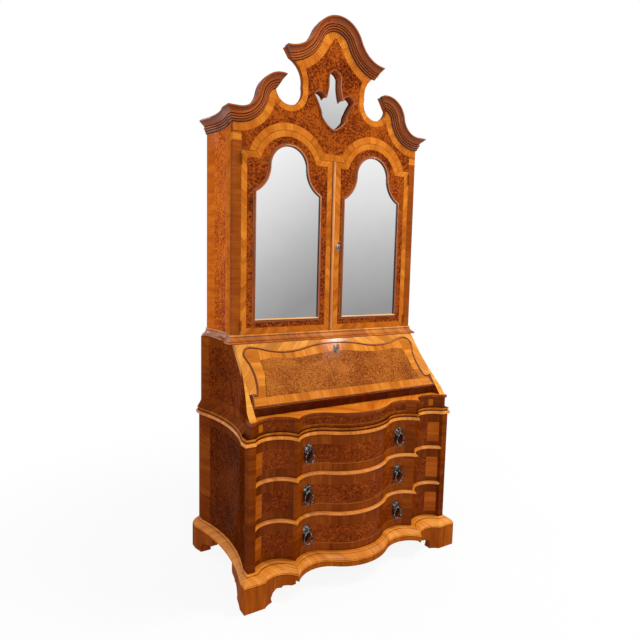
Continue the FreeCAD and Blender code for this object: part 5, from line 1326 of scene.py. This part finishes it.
# %% Burr field of the fall
HEAD_WAVE_END = 0.24
HEAD_MIDDLE, HEAD_MIDDLE_WAVE = 0.0765, 0.0095
HEAD_OUTER, HEAD_OUTER_WAVE, HEAD_OUTER_RUN = 0.082, 0.004, 0.090
SIDE_HOLLOW_AT, SIDE_HOLLOW_RUN, SIDE_SPREAD = 0.135, 0.125, 0.026


def field_head(across):
    """Head: a cosine wave in the middle, and past its foot a smaller wave that ends at the corner."""
    middle = HEAD_MIDDLE - HEAD_MIDDLE_WAVE * np.cos(math.pi * across / HEAD_WAVE_END)
    outer = HEAD_OUTER + HEAD_OUTER_WAVE * np.cos(math.pi * (across - HEAD_WAVE_END) / HEAD_OUTER_RUN)
    return np.where(across < HEAD_WAVE_END, middle, outer)


def field_half(down):
    """Half width: narrowest at one height, and wider as the square of the way from there."""
    return FALL_FIELD_HALF + SIDE_SPREAD * ((down - SIDE_HOLLOW_AT) / SIDE_HOLLOW_RUN) ** 2


across_share = np.linspace(-1, 1, 129)[:, None]
down_share = np.linspace(0, 1, 25)[None, :]
head_curve = field_head(np.abs(across_share) * FALL_FIELD_HALF)
field_down = head_curve + (FALL_FIELD_FOOT - head_curve) * down_share
field_across = across_share * field_half(field_down)
top_sheet = slope.place(field_across, -field_down, np.full(field_across.shape, VENEER_LIFT))
low_sheet = slope.place(field_across, -field_down, np.full(field_across.shape, -VENEER_SINK))
field = Skin(np.concatenate([top_sheet, low_sheet[:, ::-1]], axis=1))
piece("fall_burr_field", [field], fall_field_finish, "fall")

# %% [markdown]
# ## Handles
#
# Each handle is a cast rosette with a post, and a pear-shaped bail that swings in it. A rosette is
# a turned shape whose radius is rippled by a cosine, which gives its petals. A bail is a wire
# along a pear curve, thicker at its foot.


# %% Turned and rippled shapes
def turned(face, centre, profile, petals=0, depth_of_petals=0.0, steps=48):
    """A shape turned about the way out of a face.

    Radius = profile radius * (1 + petal depth * cos(petals * angle)), height = profile height."""
    angle = np.linspace(0, 2 * math.pi, steps, endpoint=False)[:, None]
    radius, height = np.array(profile, float).T[:, None, :]
    ripple = 1 + depth_of_petals * np.cos(petals * angle)
    rippled = radius * ripple
    return Skin(face.place(centre[0] + rippled * np.cos(angle), centre[1] + rippled * np.sin(angle),
                           height + 0 * angle), ring=True)

# %% [markdown]
# A turner's template is the outline of half the shape, as distances from the middle and heights. The
# leaf is a second, lower casting over the rosette. The bail's wire swells towards its foot.

# %% Rosettes, leaves and bails
ROSETTE = [(0.0, -0.001), (0.0195, -0.001), (0.0200, 0.0012), (0.0180, 0.0030), (0.0140, 0.0036),
           (0.0125, 0.0052), (0.0090, 0.0066), (0.0070, 0.0062), (0.0050, 0.0080), (0.0042, 0.0130),
           (0.0046, 0.0140), (0.0062, 0.0160), (0.0068, 0.0180), (0.0062, 0.0205), (0.0042, 0.0225),
           (0.0, 0.0232)]
LEAF_RISE = 0.0085
LEAF = [(0.0, -0.001), (0.0125, -0.001), (0.0130, 0.0012), (0.0100, 0.0034), (0.0060, 0.0040),
        (0.0045, 0.0062), (0.0, 0.0075)]
BAIL_DROP, BAIL_BOW = 0.037, 0.022
BAIL_WIRE, BAIL_SWELL = 0.0030, 0.0013


def pear(steps=72):
    """A closed pear curve: x = bow * sin t * (narrowing towards the top), z from the pin down to the foot."""
    t = np.linspace(0, 2 * math.pi, steps, endpoint=False)
    rise = (1 + np.cos(t)) / 2
    height = (BAIL_DROP + BAIL_BOW) * (rise - 1)
    width = (BAIL_BOW + 0.002) * np.sin(t) * (1 - 0.5 * rise ** 1.6)
    return np.stack([width, height], axis=1)


def bail(name, across, pivot_y, pivot_height):
    """A wire along the pear curve, thicker by the square of the share of the way down."""
    face = Face((across, pivot_y, pivot_height), (1, 0, 0), (0, 0, 1))
    line = pear()
    wire = BAIL_WIRE + BAIL_SWELL * (-line[:, 1] / (BAIL_DROP + BAIL_BOW)) ** 2
    round_turn = np.linspace(0, 2 * math.pi, 12, endpoint=False)
    circle = np.stack([np.cos(round_turn), np.sin(round_turn)], axis=1)
    return piece(name + "_loop", [swept(face, line, wire[:, None, None] * circle, True)], pewter, name,
                 [name])

# %% [markdown]
# Rosettes and bails take their places from the joiner's plain plates and rings, which they hide.
# The bails ride on bodies of their own, so that they swing, and the rosettes ride on the drawers.

# %% Fit the handles
PLATE_SEAT, RING_TOP = 0.0005, 0.0025
for name in DRAWERS:
    lowest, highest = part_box(name + "_drawer_plates")
    plate_face = Face((0, highest.y - PLATE_SEAT, (lowest.z + highest.z) / 2), (1, 0, 0), (0, 0, 1))
    rosettes = [turned(plate_face, (side * HANDLE_ACROSS, 0), ROSETTE, 8, 0.09) for side in (-1, 1)]
    rosettes += [turned(plate_face, (side * HANDLE_ACROSS, LEAF_RISE), LEAF, 5, 0.22) for side in (-1, 1)]
    piece(name + "_rosettes", rosettes, pewter, name + "_drawer", [name + "_drawer_plates"])
    for side, sign in (("left", -1), ("right", 1)):
        bail_name = name + "_" + side + "_bail"
        low_corner, high_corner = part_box(bail_name)
        bail(bail_name, sign * HANDLE_ACROSS, (low_corner.y + high_corner.y) / 2, high_corner.z - RING_TOP)

# %% [markdown]
# The key plates are cast as well: an oval with a hole for the key and a lobe above and below it.
# The oval is the turned shape again, with two petals, which stretch it one way and narrow it the
# other.

# %% Key plates
PLATE = [(0.0036, -0.001), (0.0138, -0.001), (0.0142, 0.0014), (0.0120, 0.0026), (0.0088, 0.0020),
         (0.0060, 0.0030), (0.0038, 0.0030), (0.0036, -0.001)]
LOBE = [(0.0, -0.001), (0.0058, -0.001), (0.0060, 0.0014), (0.0040, 0.0030), (0.0, 0.0036)]
LOBE_RISE = 0.0165


def key_plate(name, face, centre, body, replaced):
    """An oval plate with two lobes, on a face."""
    across, up = centre
    skins = [turned(face, centre, PLATE, 2, -0.16),
             turned(face, (across, up + LOBE_RISE), LOBE, 3, 0.15),
             turned(face, (across, up - LOBE_RISE), LOBE, 3, 0.15)]
    return piece(name, skins, bright_pewter, body, [replaced])


low_corner, high_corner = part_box("door_escutcheon")
plate_middle = (np.array(low_corner) + np.array(high_corner)) / 2
key_plate("door_key_plate", upper_front, (plate_middle[0], plate_middle[2]), "right_door", "door_escutcheon")
low_corner, high_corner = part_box("fall_escutcheon")
plate_middle = (np.array(low_corner) + np.array(high_corner)) / 2
key_plate("fall_key_plate", slope, (0.0, (plate_middle - slope.origin) @ slope.up), "fall", "fall_escutcheon")

# %% [markdown]
# ## Floor, light and camera
#
# A pale floor takes the shadow. For the camera it is mostly a white glow, so only a faint shadow
# stays, and with the distance it fades to the plain white of the background.

# %% Floor
FLOOR_HALF, FLOOR_DROP = 9.0, 0.0003
FADE_START, FADE_END = 0.9, 2.6
FLOOR_GLOW = 0.90
floor_mesh = bpy.data.meshes.new("studio_floor")
corners = [(a * FLOOR_HALF, b * FLOOR_HALF, -FLOOR_DROP) for a, b in ((-1, -1), (1, -1), (1, 1), (-1, 1))]
floor_mesh.from_pydata(corners, [], [(0, 1, 2, 3)])
floor = bpy.data.objects.new("studio_floor", floor_mesh)
bpy.context.scene.collection.objects.link(floor)


def seen_directly(recipe):
    """1 for rays from the camera, from a gloss and through glass."""
    paths = [recipe.node("LightPath", output=name)
             for name in ("Is Camera Ray", "Is Glossy Ray", "Is Transmission Ray")]
    return either(either(paths[0], paths[1]), paths[2])


recipe = Recipe("studio_floor")
floor_place = cabinet_place(recipe)
far_off = recipe.node("VectorMath", {"operation": "LENGTH"}, {0: floor_place}, "Value")
fade = recipe.node("MapRange", {"interpolation_type": "SMOOTHSTEP"},
                   {"Value": far_off, "From Min": FADE_START, "From Max": FADE_END})
paper = noise(recipe, floor_place, 3.0, 2.0) * 0.02
recipe.surface(Base_Color=ramp(recipe, paper, [(0.0, grey(0.86)), (0.02, grey(0.88))]), Roughness=0.9,
               Specular_IOR_Level=0.0)
glow = recipe.node("Emission", None, {"Color": grey(1.0), "Strength": 1.0})
amount = seen_directly(recipe) * (fade * (1.0 - FLOOR_GLOW) + FLOOR_GLOW)
mixed = recipe.node("MixShader", None, {0: amount, 1: Signal(recipe, recipe.shader.outputs[0]), 2: glow})
recipe.feed(recipe.tree.nodes["Material Output"].inputs["Surface"], mixed)
floor_mesh.materials.append(recipe.material)
print("floor", 2 * FLOOR_HALF, "metres square")

# %% [markdown]
# The world is plain grey light for the wood and plain white for the camera and for reflections,
# which a Light Path node tells apart. A photographed room would be another way, but it would bring
# its own shapes into the polish.

# %% World
FILL_LIGHT = 0.50
world = bpy.data.worlds.new("studio")
bpy.context.scene.world = world
world_recipe = Recipe("studio", world)
background = world.node_tree.nodes["Background"]
strength = seen_directly(world_recipe) * (1.0 - FILL_LIGHT) + FILL_LIGHT
world_recipe.feed(background.inputs["Color"], grey(1.0))
world_recipe.feed(background.inputs["Strength"], strength)
print("world at", FILL_LIGHT, "on the object")

# %% [markdown]
# Soft boxes model the room's windows: one overhead to the right, one further to the right, one in
# front on the left and one behind on the left, all aimed at the middle of the cabinet. A small one
# puts the spot of light at the top of the slope. The camera doesn't see them, and the overhead one
# is kept out of the gloss too, because it would stand as a white square in the polish of the ledge.

# %% Soft boxes
TARGET = (0.0, 0.0, 1.15)
SOFT_BOXES = [("front_box", (-2.2, -3.6, 2.7), (2.2, 2.2), 56.0, True),
              ("overhead_box", (1.5, -0.9, 3.6), (1.0, 1.0), 60.0, False),
              ("right_box", (3.4, -1.9, 2.6), (1.6, 2.4), 24.0, True),
              ("window_box", (1.76, -0.90, 3.57), (0.16, 0.12), 6.0, True),
              ("back_left_box", (-2.5, 2.2, 3.1), (1.1, 1.3), 20.0, True)]
for name, place, size, watts, in_gloss in SOFT_BOXES:
    data = bpy.data.lights.new(name, "AREA")
    data.shape = "RECTANGLE"
    data.size, data.size_y = size
    data.energy = watts
    box = bpy.data.objects.new(name, data)
    bpy.context.scene.collection.objects.link(box)
    box.location = place
    box.rotation_mode = "QUATERNION"
    box.rotation_quaternion = Vector(np.array(TARGET) - place).to_track_quat("-Z", "Y")
    box.visible_camera = False
    box.visible_glossy = in_gloss
print("lamps:", len(SOFT_BOXES))

# %% [markdown]
# The camera stands to the left of the cabinet, a little above its middle, and looks slightly down.
# Its place and turn were found from the cabinet's own corners. The angles are turned into three
# directions, which are the columns of the camera's rotation.

# %% Camera
CAMERA_PLACE = (-1.408, -2.1661, 1.4173)
CAMERA_YAW, CAMERA_PITCH, CAMERA_ROLL = math.radians(31.72), math.radians(-6.18), math.radians(1.33)
FOCAL_PIXELS, PICTURE_PIXELS = 543.4, 640
heading_level = np.array([math.sin(CAMERA_YAW), math.cos(CAMERA_YAW), 0.0])
forward = heading_level * math.cos(CAMERA_PITCH) + np.array([0.0, 0.0, math.sin(CAMERA_PITCH)])
level = np.array([math.cos(CAMERA_YAW), -math.sin(CAMERA_YAW), 0.0])
upright = np.cross(level, forward)
right = level * math.cos(CAMERA_ROLL) + upright * math.sin(CAMERA_ROLL)
above = np.cross(right, forward)
camera_data = bpy.data.cameras.new("camera")
camera_data.lens = FOCAL_PIXELS / PICTURE_PIXELS * camera_data.sensor_width
camera = bpy.data.objects.new("camera", camera_data)
bpy.context.scene.collection.objects.link(camera)
turn = Matrix(np.stack([right, above, -forward], axis=1).tolist()).to_4x4()
camera.matrix_world = Matrix.Translation(CAMERA_PLACE) @ turn
bpy.context.scene.camera = camera
bpy.context.scene.view_settings.view_transform = "Standard"
print("camera at", CAMERA_PLACE, "with a lens of", round(camera_data.lens, 1), "mm")
